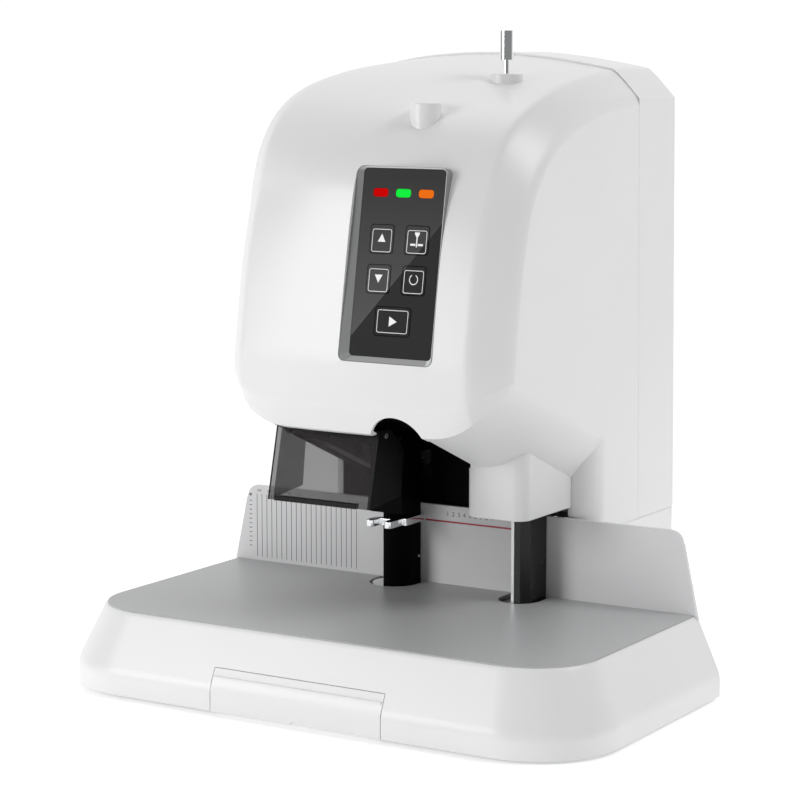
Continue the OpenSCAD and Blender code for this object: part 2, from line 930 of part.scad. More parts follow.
quill_rod_y = 48;
module at_quill_rods(z0, z1, d) {
    for (s = [-1, 1])
        rod(drill_x + s * 10, quill_rod_y, z0, z1, d);
}

module carriage_block(x, z0, z1) {
    difference() {
        box(x - 29, x + 29, carriage_y - 9, screw_y + 12, z0, z1);
        for (s = [-1, 1])
            rod(x + s * rod_pitch / 2, carriage_y, z0 - 1, z1 + 1, guide_d + 2 * run_fit);
        rod(x, screw_y, z0 - 1, z1 + 1, screw_d + 2 * run_fit);
        // weight relief between the bores
        box(x - 12, x + 12, carriage_y - 3, carriage_y + 4, z0 - 1, z1 + 1);
    }
}

car_z0 = 136;
car_z1 = nose_z1;
module drill_carriage() {
    color(alu_c)
    carriage_block(drill_x, car_z0, car_z1);
}

plate_z0 = 248;
module quill_rods() {
    color(chrome_c)
    at_quill_rods(nose_z1 - 12, plate_z0 + 34, 6);
}

module quill_plate() {
    color(alu_c)
    difference() {
        union() {
            box(drill_x - 24, drill_x + 24, motor_y - 23, quill_rod_y + 8, plate_z0, plate_z0 + 6);
            // long bosses that run on the quill rods
            at_quill_rods(plate_z0 - 14, plate_z0 + 18, 11);
            rod(drill_x, drill_y, plate_z0, plate_z0 + 12, 24);
        }
        rod(drill_x, drill_y, plate_z0 - 10, plate_z0 + 20, spindle_d + 2 * run_fit);
        at_quill_rods(plate_z0 - 20, plate_z0 + 30, 6 + 2 * run_fit);
        rod(drill_x, motor_y, plate_z0 - 5, plate_z0 + 10, 14);
    }
}

spindle_d = 12;
motor_y = drill_y - 50;
module spindle() {
    color(steel_c)
    difference() {
        union() {
            rod(drill_x, drill_y, nose_z1 - 50, plate_z0 - 12, quill_d);
            rod(drill_x, drill_y, plate_z0 - 14, plate_z0 + 26, spindle_d);
            rod(drill_x, drill_y, plate_z0 + 12.3, plate_z0 + 17, 20);
        }
        rod(drill_x, drill_y, nose_z1 - 60, plate_z0 + 40, bit_d);
    }
}

module spindle_pulley() {
    color(alu_c)
    pulley(drill_x, drill_y, plate_z0 - 12, 34, spindle_d);
}

module pulley(x, y, z0, d, bore) {
    difference() {
        union() {
            rod(x, y, z0, z0 + 11, d - 3);
            rod(x, y, z0, z0 + 1.4, d);
            rod(x, y, z0 + 9.6, z0 + 11, d);
        }
        rod(x, y, z0 - 1, z0 + 12, bore);
    }
}

module hollow_drill() {
    color(chrome_c)
    difference() {
        union() {
            rod(drill_x, drill_y, guard_z1 + 0.8, nose_z1 - 10, bit_d);
            rod(drill_x, drill_y, guard_z1 + 6, nose_z1 - 50, 11);
        }
        rod(drill_x, drill_y, guard_z1 - 1, nose_z1, bit_d - 1.2);
        translate([drill_x, drill_y, guard_z1 + 0.7])
            cylinder(h = 1.2, d1 = bit_d - 0.1, d2 = bit_d - 1.3, $fn = 48);
    }
}

module drill_motor() {
    color([0.25, 0.26, 0.28])
    difference() {
        union() {
            rod(drill_x, motor_y, plate_z0 + 6, plate_z0 + 50, 40);
            rod(drill_x, motor_y, plate_z0 + 50, plate_z0 + 54, 16);
            rod(drill_x, motor_y, plate_z0 + 2, plate_z0 + 7, 13.6);
        }
        rod(drill_x, motor_y, plate_z0 - 1, plate_z0 + 20, 5 + 2 * run_fit);
        for (i = [0:5])
            rotate_about(drill_x, motor_y, i * 60)
                box(-3, 3, 15, 18, plate_z0 + 44, plate_z0 + 51);
    }
}

module rotate_about(x, y, a) {
    translate([x, y, 0])
        rotate([0, 0, a])
            children();
}

module motor_pulley() {
    color(alu_c)
    union() {
        pulley(drill_x, motor_y, plate_z0 - 12, 22, 4);
        // shaft that turns in the motor
        rod(drill_x, motor_y, plate_z0 - 12.5, plate_z0 + 19, 5);
    }
}

// ---------- riveting head ----------
module press_plan(r, t) {
    c = 5;
    difference() {
        polygon([[0, -r], [r - c, -r], [r, -r + c], [r, press_margin - 1.2], [0, press_margin - 1.2]]);
        polygon([[-1, -r + t], [r - c - 1, -r + t], [r - t, -r + c + 1],
            [r - t, press_margin - 1.2 - t], [-1, press_margin - 1.2 - t]]);
    }
}

module press_guard() {
    color(black_c)
    translate([press_x, press_y, guard_z0])
        linear_extrude(car_z0 + 4 - guard_z0)
            press_plan(press_r, 2);
}

module press_carriage() {
    color(alu_c)
    difference() {
        union() {
            carriage_block(press_x, car_z0 + 10, car_z1 + 10);
            box(press_x - 12, press_x + press_r, press_y - press_r, carriage_y - 9, car_z0 + 4, car_z0 + 24);
        }
        rod(press_x, press_y, car_z0 - 5, car_z0 + 40, rod_d);
    }
}

module press_rod() {
    color(chrome_c)
    difference() {
        union() {
            rod(press_x, press_y, table_h + 0.6, car_z0 + 30, rod_d);
            rod(press_x, press_y, car_z0 + 24, car_z0 + 30, rod_d + 8);
        }
        // rivet-forming hollow in the tip
        translate([press_x, press_y, table_h + 0.5])
            cylinder(h = 1.2, d1 = 5, d2 = 2.4, $fn = 48);
    }
}

module upper_heater() {
    color(brass_c)
    difference() {
        rod(press_x, press_y, car_z0 - 22, car_z0 + 4, 17);
        rod(press_x, press_y, car_z0 - 30, car_z0 + 10, rod_d);
        rod(press_x + 6.2, press_y, car_z0 - 23, car_z0 - 6, 2.4);
        rod(press_x - 6.2, press_y, car_z0 - 23, car_z0 - 6, 2.4);
    }
}

seat_top = table_h - 2.4;
module station_seat(x, y, r) {
    back = gauge_y - 0.3;
    difference() {
        union() {
            rod(x, y, 12, seat_top, 2 * r);
            box(x - r, x + r, y, back, 12, seat_top);
            box(x - r - 10, x + r + 10, y - 8, back, foot_h + 1.6, 12);
        }
        box(x - r - 1, x + r + 1, back, y + r + 1, 10, seat_top + 1);
    }
}

module drill_seat() {
    color([0.20, 0.20, 0.22])
    difference() {
        station_seat(drill_x, drill_y, drill_r + slot_gap - 0.4);
        pad_disc(seat_top - 5, seat_top + 1);
    }
}

module press_seat() {
    color([0.20, 0.20, 0.22])
    difference() {
        station_seat(press_x, press_y, press_r + slot_gap - 0.4);
        rod(press_x, press_y, seat_top - 20, seat_top + 1, die_d);
    }
}

pad_d = 24;
pad_back = 8.2;
die_d = 14;
// round pad with a flat at the back, clear of the guard's back wall
module pad_disc(z0, z1) {
    difference() {
        rod(drill_x, drill_y, z0, z1, pad_d);
        box(drill_x - pad_d, drill_x + pad_d, drill_y + pad_back, drill_y + pad_d, z0 - 1, z1 + 1);
    }
}

module drill_pad() {
    color([0.93, 0.93, 0.90])
    difference() {
        pad_disc(seat_top - 5, table_h - 0.4);
        rod(drill_x, drill_y, table_h - 0.9, table_h, bit_d + 1);
    }
}

module lower_die() {
    color(brass_c)
    difference() {
        union() {
            rod(press_x, press_y, seat_top - 20, seat_top, die_d);
            translate([press_x, press_y, seat_top])
                cylinder(h = table_h - 0.6 - seat_top, d1 = die_d - 2, d2 = 8, $fn = 48);
        }
        translate([press_x, press_y, table_h - 1.6])
            cylinder(h = 1.2, d1 = 2.4, d2 = 4.6, $fn = 48);
    }
}

// ---------- shield ----------
module shield_side(x) {
    along_x(x, x + shield_t)
        polygon([[shield_face_y, shield_top], [pivot_y + 5, shield_top],
            [shield_face_y + 30, shield_top - 16], [shield_face_y + 26, shield_top - 46],
            [shield_face_y - shield_lean, shield_top - shield_h]]);
}

module shield() {
    y0 = shield_face_y;
    y1 = y0 - shield_lean;
    z1 = shield_top - shield_h;
    color(smoke_c)
    difference() {
        union() {
            along_x(shield_x0, shield_x1)
                polygon([[y0, shield_top], [y1, z1], [y1 + shield_t, z1],
                    [y0 + shield_t, shield_top]]);
            shield_side(shield_x0);
            shield_side(shield_x1 - shield_t);
        }
        translate([shield_x0 - 5, pivot_y, pivot_z])
            rotate([0, 90, 0])
                cylinder(h = 100, d = 4, $fn = 32);
    }
}

module shield_grip() {
    k = shield_lean / shield_h;
    rise0 = 3;
    rise1 = 7;
    z = shield_top - shield_h;
    // back face of the front pane
    y = shield_face_y - shield_lean + shield_t;
    color(black_c)
    along_x(shield_x0 + 6, shield_x1 - 9)
        polygon([[y + k * rise0, z + rise0], [y + k * rise1, z + rise1],
            [y + k * rise1 + 1.6, z + rise1], [y + k * rise0 + 1.6, z + rise0]]);
}

module shield_pins() {
    color(chrome_c)
    for (x = [shield_x0 - 0.6, shield_x1 - 6.6])
        translate([x, pivot_y, pivot_z])
            rotate([0, 90, 0])
                cylinder(h = 7.2, d = 4 - 2 * run_fit, $fn = 32);
}

// ---------- chip drawer ----------
module chip_drawer() {
    x0 = drawer_x - drawer_w / 2 + seam;
    x1 = drawer_x + drawer_w / 2 - seam;
    z0 = foot_h + 1.9;
    color(white_c)
    difference() {
        union() {
            along_x(x0, x1)
                drawer_profile(skin_t);
            box(x0 + 1, x1 - 1, y_front + skin_t - 0.1, y_front + drawer_d, z0, drawer_top - 5);
        }
        box(x0 + 3, x1 - 3, y_front + 11, y_front + drawer_d - 2, z0 + 2, 60);
        // finger pull under the front edge
        translate([drawer_x, y_front - 1, foot_h - 1])
            rotate([-90, 0, 0])
                cylinder(h = skin_t + 2.4, r = 3.2, $fn = 48);
    }
}

// ---------- electrics ----------
module control_board() {
    y0 = frame_y1 - 10;
    color(green_c)
    difference() {
        box(-70, 60, y0, y0 + 1.6, 150, 260);
        for (x = [-66, 56])
            for (z = [154, 256])
                translate([x, y0 - 5, z])
                    rotate([-90, 0, 0])
                        cylinder(h = 20, d = 3.2, $fn = 24);
    }
    color([0.15, 0.15, 0.16]) {
        box(-50, -20, y0 - 8, y0, 170, 200);
        box(0, 40, y0 - 12, y0, 165, 185);
        box(-40, 30, y0 - 4, y0, 215, 235);
    }
    // board stand-offs to the uprights
    color(steel_c) {
        box(3 - upright_x, -60, y0 + 1.6, y0 + 4, 246, 258);
        box(3 - upright_x, -60, y0 + 1.6, y0 + 4, 152, 164);
    }
}

module power_supply() {
    y0 = frame_y0 + 4;
    y1 = frame_y1 - 12;
    floor_z = foot_h + skin_t;
    color(steel_c)
    difference() {
        box(-50, 60, y0, y1, floor_z, 48);
        box(-48, 58, y0 + 2, y1 - 2, floor_z + 2, 60);
    }
    color(brass_c)
    for (y = [y0 + 18, y0 + 44])
        rod(20, y, floor_z + 2, 38, 20);
    color([0.15, 0.15, 0.16])
    box(-44, -12, y0 + 8, y1 - 8, floor_z + 2, 36);
}

module power_inlet() {
    color(black_c)
    difference() {
        union() {
            box(inlet_x - 13.8, inlet_x + 13.8, y_back - 22, y_back - 1.5, 24.2, 43.8);
            box(inlet_x - 17, inlet_x + 17, y_back - 1.5, y_back, 21.5, 46.5);
        }
        box(inlet_x - 11, inlet_x + 11, y_back - 16, y_back + 2, 27, 41);
    }
    color(chrome_c)
    for (x = [-6, 0, 6])
        box(inlet_x + x - 1, inlet_x + x + 1, y_back - 18, y_back - 5, 32, 36);
}

module power_switch() {
    color(black_c)
    difference() {
        intersection() {
            translate([switch_x - 6.6, y_back - 6, 34])
                rotate([0, 90, 0])
                    cylinder(h = 13.2, r = 7, $fn = 48);
            box(switch_x - 10, switch_x + 10, y_back - 11, y_back + 0, 20, 50);
        }
        translate([switch_x - 10, y_back - 6, 34])
            rotate([0, 90, 0])
                cylinder(h = 30, d = 2, $fn = 24);
    }
}

module at_cover_screws() {
    for (s = [-1, 1])
        for (z = [150, 300])
            translate([s * (half_h - 26), y_back - 1.1 - seam_lean * (z - col_z) / 310, z])
                rotate([-90, 0, 0])
                    children();
}

module cover_screws() {
    color(steel_c)
    at_cover_screws()
        difference() {
            cylinder(h = 1.0, d = 7, $fn = 32);
            translate([0, 0, 0.3])
                cylinder(h = 2, d = 3, $fn = 6);
        }
}

// ---------- build ----------
base_shell();
pedestal();
table_plate();
bottom_plate();
rubber_feet();
back_gauge();
head_cover();
rear_cover();
press_hood();
throat_liner();
front_spout();
needle_spout();
cleaning_needle();
panel_bezel();
panel_overlay();
led_red();
led_green();
led_orange();
key_up();
key_rivet();
key_down();
key_reset();
key_start();
keypad_board();
frame_uprights();
rod_shelf();
top_plate();
drill_guide_rods();
press_guide_rods();
drill_lift_screw();
press_lift_screw();
lift_motors();
drill_guard();
guard_fork();
drill_nose();
drill_carriage();
quill_rods();
quill_plate();
spindle();
spindle_pulley();
hollow_drill();
drill_motor();
motor_pulley();
press_guard();
press_carriage();
press_rod();
upper_heater();
lower_die();
press_seat();
drill_seat();
drill_pad();
shield();
shield_grip();
shield_pins();
chip_drawer();
control_board();
power_supply();
power_inlet();
power_switch();
cover_screws();
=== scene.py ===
import json
import math

import bmesh
import bpy
from mathutils import Matrix, Vector
from mathutils.bvhtree import BVHTree


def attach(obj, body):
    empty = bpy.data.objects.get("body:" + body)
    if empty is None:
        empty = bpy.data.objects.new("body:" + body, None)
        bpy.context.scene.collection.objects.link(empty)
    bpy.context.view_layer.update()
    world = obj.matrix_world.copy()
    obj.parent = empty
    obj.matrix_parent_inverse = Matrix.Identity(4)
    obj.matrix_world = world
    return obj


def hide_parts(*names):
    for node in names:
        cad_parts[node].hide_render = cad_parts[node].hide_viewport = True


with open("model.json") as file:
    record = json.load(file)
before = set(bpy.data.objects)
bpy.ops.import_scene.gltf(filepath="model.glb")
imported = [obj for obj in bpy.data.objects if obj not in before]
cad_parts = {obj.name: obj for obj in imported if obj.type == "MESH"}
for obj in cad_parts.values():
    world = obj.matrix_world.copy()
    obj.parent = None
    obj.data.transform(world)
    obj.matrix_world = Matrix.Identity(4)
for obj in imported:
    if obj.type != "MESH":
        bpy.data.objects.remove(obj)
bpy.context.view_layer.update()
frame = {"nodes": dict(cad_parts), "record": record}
nodes = frame["nodes"]
scene = bpy.context.scene
MM = 0.001

# ---------------------------------------------------------------- view
CAMERA_AT = (0.8595, -1.4347, 0.4226)
CAMERA_LENS = 113.013
CAMERA_YAW = 31.564
CAMERA_PITCH = 7.977

camera_data = bpy.data.cameras.new("studio_camera")
camera_data.sensor_width = 36.0
camera_data.lens = CAMERA_LENS
camera_data.clip_end = 20.0
camera = bpy.data.objects.new("studio_camera", camera_data)
camera.location = CAMERA_AT
camera.rotation_euler = (math.radians(90 - CAMERA_PITCH), 0, math.radians(CAMERA_YAW))
scene.collection.objects.link(camera)
scene.camera = camera
scene.view_settings.view_transform = "Standard"


# ---------------------------------------------------------------- finishes
def finish(name, color, rough, metal=0.0, grain=0.0, grain_scale=2500.0, mottle=0.02,
           mottle_scale=9.0, spread=0.05, shine=0.5):
    """A moulded, painted or machined finish: fine grain, and a slow drift in colour and gloss."""
    mat = bpy.data.materials.new(name)
    mat.use_nodes = True
    tree = mat.node_tree
    shader = tree.nodes["Principled BSDF"]
    shader.inputs["Metallic"].default_value = metal
    shader.inputs["Specular IOR Level"].default_value = shine
    place = tree.nodes.new("ShaderNodeTexCoord")
    drift = tree.nodes.new("ShaderNodeTexNoise")
    drift.inputs["Scale"].default_value = mottle_scale
    drift.inputs["Detail"].default_value = 3.0
    tree.links.new(place.outputs["Object"], drift.inputs["Vector"])
    ramp = tree.nodes.new("ShaderNodeValToRGB")
    ramp.color_ramp.elements[0].position = 0.3
    ramp.color_ramp.elements[1].position = 0.7
    low = [max(0.0, c * (1 - mottle)) for c in color]
    high = [min(1.0, c * (1 + mottle)) for c in color]
    ramp.color_ramp.elements[0].color = (*low, 1)
    ramp.color_ramp.elements[1].color = (*high, 1)
    tree.links.new(drift.outputs["Fac"], ramp.inputs["Fac"])
    tree.links.new(ramp.outputs["Color"], shader.inputs["Base Color"])
    gloss = tree.nodes.new("ShaderNodeMapRange")
    gloss.inputs["To Min"].default_value = max(0.02, rough - spread)
    gloss.inputs["To Max"].default_value = min(1.0, rough + spread)
    tree.links.new(drift.outputs["Fac"], gloss.inputs["Value"])
    tree.links.new(gloss.outputs["Result"], shader.inputs["Roughness"])
    if grain:
        fine = tree.nodes.new("ShaderNodeTexNoise")
        fine.inputs["Scale"].default_value = grain_scale
        fine.inputs["Detail"].default_value = 2.0
        tree.links.new(place.outputs["Object"], fine.inputs["Vector"])
        bump = tree.nodes.new("ShaderNodeBump")
        bump.inputs["Strength"].default_value = grain
        bump.inputs["Distance"].default_value = 0.0002
        tree.links.new(fine.outputs["Fac"], bump.inputs["Height"])
        tree.links.new(bump.outputs["Normal"], shader.inputs["Normal"])
    return mat


def brushed(name, color, rough, along=(1, 1, 40)):
    """Metal with fine lines drawn along one direction."""
    mat = finish(name, color, rough, metal=1.0, mottle=0.03, mottle_scale=30)
    tree = mat.node_tree
    shader = tree.nodes["Principled BSDF"]
    place = tree.nodes.new("ShaderNodeTexCoord")
    turn = tree.nodes.new("ShaderNodeMapping")
    turn.inputs["Scale"].default_value = along
    lines = tree.nodes.new("ShaderNodeTexNoise")
    lines.inputs["Scale"].default_value = 160.0
    bump = tree.nodes.new("ShaderNodeBump")
    bump.inputs["Strength"].default_value = 0.12
    bump.inputs["Distance"].default_value = 0.0001
    tree.links.new(place.outputs["Object"], turn.inputs["Vector"])
    tree.links.new(turn.outputs["Vector"], lines.inputs["Vector"])
    tree.links.new(lines.outputs["Fac"], bump.inputs["Height"])
    tree.links.new(bump.outputs["Normal"], shader.inputs["Normal"])
    return mat


def lamp(name, color, glow):
    """A lit indicator window, brightest in the middle of its colour."""
    mat = finish(name, [c * 0.2 for c in color], 0.5, mottle=0.06, mottle_scale=300, shine=0.0)
    shader = mat.node_tree.nodes["Principled BSDF"]
    shader.inputs["Emission Color"].default_value = (*color, 1)
    shader.inputs["Emission Strength"].default_value = glow
    return mat


white_plastic = finish("white_moulded_plastic", (0.80, 0.805, 0.80), 0.34, grain=0.05,
                       grain_scale=1800, mottle=0.008)
table_paint = finish("grey_table_paint", (0.47, 0.475, 0.48), 0.38, grain=0.12, grain_scale=2200,
                     mottle=0.02)
gauge_paint = finish("pale_gauge_paint", (0.70, 0.70, 0.71), 0.40, grain=0.10, grain_scale=2200,
                     mottle=0.012)
black_plastic = finish("black_moulded_plastic", (0.0025, 0.0025, 0.0027), 0.50, grain=0.1,
                       grain_scale=2600, mottle=0.15, shine=0.14)
black_metal = finish("black_enamel", (0.006, 0.0065, 0.007), 0.28, grain=0.03, mottle=0.15,
                     shine=0.35)
key_film = finish("key_film", (0.055, 0.055, 0.056), 0.22, mottle=0.05, mottle_scale=80)
bezel_silver = finish("silver_bezel", (0.25, 0.253, 0.256), 0.38, metal=0.35, grain=0.06,
                      mottle=0.02)
board_green = finish("circuit_board", (0.03, 0.16, 0.08), 0.45, mottle=0.2, mottle_scale=220)
rubber = finish("rubber", (0.02, 0.02, 0.02), 0.8, grain=0.3, mottle=0.2)
motor_dark = finish("motor_case", (0.05, 0.05, 0.055), 0.4, grain=0.1, mottle=0.1)
pad_white = finish("white_pad", (0.92, 0.92, 0.91), 0.35, grain=0.1, mottle=0.03)
brass = brushed("machined_brass", (0.62, 0.44, 0.18), 0.3)
steel = brushed("brushed_steel", (0.50, 0.51, 0.52), 0.35)
alloy = brushed("machined_alloy", (0.62, 0.63, 0.65), 0.4, along=(40, 1, 1))
chrome = finish("polished_chrome", (0.78, 0.79, 0.80), 0.12, metal=1.0, mottle=0.01)
# the press hood in a darker white than the cover's white: painted shade on the hood
hood_white_painted_shade = finish("hood_plastic_painted_shade", (0.72, 0.722, 0.72), 0.36, grain=0.05, grain_scale=1800,
                    mottle=0.008)
deep_black = finish("deep_black_plastic", (0.002, 0.002, 0.0022), 0.55, grain=0.05, mottle=0.1,
                    shine=0.04)
print_ink = finish("dark_print", (0.05, 0.05, 0.055), 0.5, mottle=0.05, mottle_scale=300)
pale_ink = finish("pale_print", (0.93, 0.93, 0.93), 0.5, mottle=0.02, mottle_scale=300)
red_ink = finish("red_print", (0.42, 0.03, 0.05), 0.5, mottle=0.05, mottle_scale=300)
lamp_red = lamp("lamp_red", (0.56, 0.002, 0.002), 0.85)
lamp_green = lamp("lamp_green", (0.008, 0.84, 0.050), 0.85)
lamp_orange = lamp("lamp_orange", (0.82, 0.155, 0.009), 0.85)


def smoked_sheet():
    """Smoked sheet, part clear, a little warm."""
    mat = finish("smoked_sheet", (0.030, 0.026, 0.026), 0.05, mottle=0.04, mottle_scale=20,
                 spread=0.02, shine=0.03)
    mat.node_tree.nodes["Principled BSDF"].inputs["Alpha"].default_value = 0.52
    mat.surface_render_method = "BLENDED"
    return mat


smoked = smoked_sheet()

finish_of = {
    "white_cover": white_plastic, "table_grey": table_paint, "gauge_plate": gauge_paint,
    "black_plastic": black_plastic, "black_metal": black_metal, "smoked": smoked,
    "panel_glass": key_film, "key_film": key_film, "bezel_silver": bezel_silver,
    "lamp_red": lamp_red, "lamp_green": lamp_green, "lamp_orange": lamp_orange,
    "board_green": board_green, "steel": steel, "chrome": chrome, "alloy": alloy,
    "brass": brass, "rubber": rubber, "motor_dark": motor_dark, "pad_white": pad_white,
}
slot_of = {s["node"]: s["material_slot"] for s in frame["record"]["subparts"]}
body_of = {n: b for b, members in frame["record"]["behaviour"]["bodies"].items() for n in members}


# ---------------------------------------------------------------- mesh helpers
def new_object(name, mesh):
    obj = bpy.data.objects.new(name, mesh)
    scene.collection.objects.link(obj)
    return obj


def baked(obj):
    """The object's evaluated mesh as a plain mesh; the object's modifiers are dropped."""
    bpy.context.view_layer.update()
    graph = bpy.context.evaluated_depsgraph_get()
    mesh = bpy.data.meshes.new_from_object(obj.evaluated_get(graph))
    obj.modifiers.clear()
    old = obj.data
    obj.data = mesh
    if old.users == 0:
        bpy.data.meshes.remove(old)
    return obj


def smooth(obj, angle):
    mesh = obj.data
    if "custom_normal" in mesh.attributes:
        mesh.attributes.remove(mesh.attributes["custom_normal"])
    mesh.shade_smooth()
    mesh.set_sharp_from_angle(angle=math.radians(angle))
    facing = obj.modifiers.new("facing", "WEIGHTED_NORMAL")
    facing.keep_sharp = True
    facing.weight = 80
    return baked(obj)


def piece(obj, mat, body, slot, *stands_for):
    obj.data.materials.clear()
    obj.data.materials.append(mat)
    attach(obj, body)
    if stands_for:
        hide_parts(*stands_for)
    return obj


def soften(obj, width, segments=2, angle=35):
    edge = obj.modifiers.new("edge", "BEVEL")
    edge.width = width
    edge.segments = segments
    edge.limit_method = "ANGLE"
    edge.angle_limit = math.radians(angle)
    return baked(obj)


def dressed(node, width, smooth_angle=38):
    """A node's own solid with its sharp edges broken and its round faces smooth."""
    bm = bmesh.new()
    bm.from_mesh(nodes[node].data)
    bmesh.ops.remove_doubles(bm, verts=bm.verts, dist=2e-6)
    bmesh.ops.dissolve_limit(bm, angle_limit=math.radians(0.6), verts=bm.verts, edges=bm.edges)
    mesh = bpy.data.meshes.new(node + "_dressed")
    bm.to_mesh(mesh)
    bm.free()
    obj = new_object(node + "_dressed", mesh)
    if width:
        soften(obj, width * MM)
    smooth(obj, smooth_angle)
    slot = slot_of[node]
    return piece(obj, finish_of[slot], body_of[node], slot, node)


def closed_mesh(name, points, faces):
    """A mesh from points in metres, with all its faces turned outward."""
    mesh = bpy.data.meshes.new(name)
    mesh.from_pydata(points, [], faces)
    bm = bmesh.new()
    bm.from_mesh(mesh)
    bmesh.ops.recalc_face_normals(bm, faces=bm.faces)
    bm.to_mesh(mesh)
    bm.free()
    return mesh


def joined(first, others, weld=0.0):
    """Puts the others' meshes into the first object's; points closer than weld become one."""
    bm = bmesh.new()
    for o in [first] + others:
        bm.from_mesh(o.data)
    if weld:
        bmesh.ops.remove_doubles(bm, verts=bm.verts, dist=weld)
    bm.to_mesh(first.data)
    bm.free()
    for o in others:
        bpy.data.objects.remove(o)
    return first


def lofted(name, rings):
    """Skins equal closed rings in order; each end is closed by one flat face."""
    n = len(rings[0])
    m = len(rings)
    points = [p for r in rings for p in r]
    faces = []
    for j in range(m - 1):
        for i in range(n):
            k = (i + 1) % n
            faces.append((j * n + i, (j + 1) * n + i, (j + 1) * n + k, j * n + k))
    faces += [tuple(range(n)), tuple(range((m - 1) * n, m * n))]
    return new_object(name, closed_mesh(name, [[v * MM for v in p] for p in points], faces))


def block(x0, x1, y0, y1, z0, z1, lean=0.0):
    """A box in millimetres; lean shifts y by lean for each millimetre of height above z0."""
    corners = [(x, y - lean * (z - z0), z) for z in (z0, z1) for y in (y0, y1) for x in (x0, x1)]
    mesh = bpy.data.meshes.new("cutter")
    mesh.from_pydata([[v * MM for v in c] for c in corners], [],
                     [(0, 2, 3, 1), (4, 5, 7, 6), (0, 1, 5, 4), (2, 6, 7, 3), (0, 4, 6, 2),
                      (1, 3, 7, 5)])
    return new_object("cutter", mesh)


def drum(x, y, z, radius, length, turn=None, count=64):
    """A cylinder in millimetres from its base centre, along +Z unless turned by a matrix."""
    ring = [(radius * math.cos(math.tau * i / count), radius * math.sin(math.tau * i / count))
            for i in range(count)]
    points = [(a, b, 0) for a, b in ring] + [(a, b, length) for a, b in ring]
    faces = [(i, (i + 1) % count, count + (i + 1) % count, count + i) for i in range(count)]
    faces += [tuple(range(count - 1, -1, -1)), tuple(range(count, 2 * count))]
    mesh = bpy.data.meshes.new("cutter")
    mesh.from_pydata(points, [], faces)
    turn = turn or Matrix.Identity(4)
    mesh.transform(Matrix.Scale(MM, 4) @ Matrix.Translation((x, y, z)) @ turn)
    return new_object("cutter", mesh)


def carve(obj, *cutters):
    for c in cutters:
        cut = obj.modifiers.new("cut", "BOOLEAN")
        cut.operation = "DIFFERENCE"
        cut.solver = "EXACT"
        cut.object = c
    baked(obj)
    for c in cutters:
        bpy.data.objects.remove(c)
    return obj


def round_rect_ring(w, h, r, count=8):
    out = []
    for cx, cy, a0 in ((w / 2 - r, h / 2 - r, 0), (-w / 2 + r, h / 2 - r, 90),
                       (-w / 2 + r, -h / 2 + r, 180), (w / 2 - r, -h / 2 + r, 270)):
        for i in range(count + 1):
            a = math.radians(a0 + 90 * i / count)
            out.append((cx + r * math.cos(a), cy + r * math.sin(a)))
    return out


# ---------------------------------------------------------------- moulded head
HALF = 106.0
BEVEL = 20.0
FACE = HALF - BEVEL
LIP = 178.0
SLOPE = 0.42
COLUMN_Y = 41.0
COLUMN_R = 15.0
COLUMN_Z = 101.0
LIP_BAND = 0.40
SEAM_Y = 106.0
LEAN = 7.0 / 310
SKIN = 2.6
BACK_Y = 165.0
HUB = (78.0, 215.0)
CROWN_LOW = ((-100, 225), (-95, 262), (-91, 298), (-84, 332))
CROWN_TOP = ((-84, 332), (-72, 380), (-26, 410), (120, 420))
EDGE_LOW = ((-96, 225), (-90, 262), (-86, 300), (-72, 330))
EDGE_TOP = ((-72, 330), (-58, 370), (-30, 402), (120, 409))
SIDE_LOW = ((-75, 217), (-70, 250), (-66, 285), (-56, 315))
SIDE_TOP = ((-56, 315), (-40, 354), (-10, 386), (120, 389))
LEFT_EDGE_TOP = ((-72, 330), (-64, 376), (-36, 410), (120, 413))
LEFT_SIDE_TOP = ((-56, 315), (-48, 366), (-30, 411), (120, 404))


def bezier(p, t):
    w = ((1 - t) ** 3, 3 * t * (1 - t) ** 2, 3 * t * t * (1 - t), t ** 3)
    return tuple(sum(w[i] * p[i][a] for i in range(4)) for a in (0, 1))


def run(low, top, n_low=16, n_top=34):
    return ([bezier(low, i / n_low) for i in range(n_low + 1)]
            + [bezier(top, i / n_top) for i in range(1, n_top + 1)])


def mixed(a, b, k):
    return [(p[0] * (1 - k) + q[0] * k, p[1] * (1 - k) + q[1] * k) for p, q in zip(a, b)]


CROWN = run(CROWN_LOW, CROWN_TOP)
EDGES = {1: run(EDGE_LOW, EDGE_TOP), -1: run(EDGE_LOW, LEFT_EDGE_TOP)}
SIDES = {1: run(SIDE_LOW, SIDE_TOP), -1: run(SIDE_LOW, LEFT_SIDE_TOP)}


def run_at(x):
    side = -1 if x < 0 else 1
    a = min(abs(x), HALF)
    if a <= FACE:
        return mixed(CROWN, EDGES[side], (a / FACE) ** (2.6 if side < 0 else 1.5))
    return mixed(EDGES[side], SIDES[side], ((a - FACE) / BEVEL) ** 1.12)


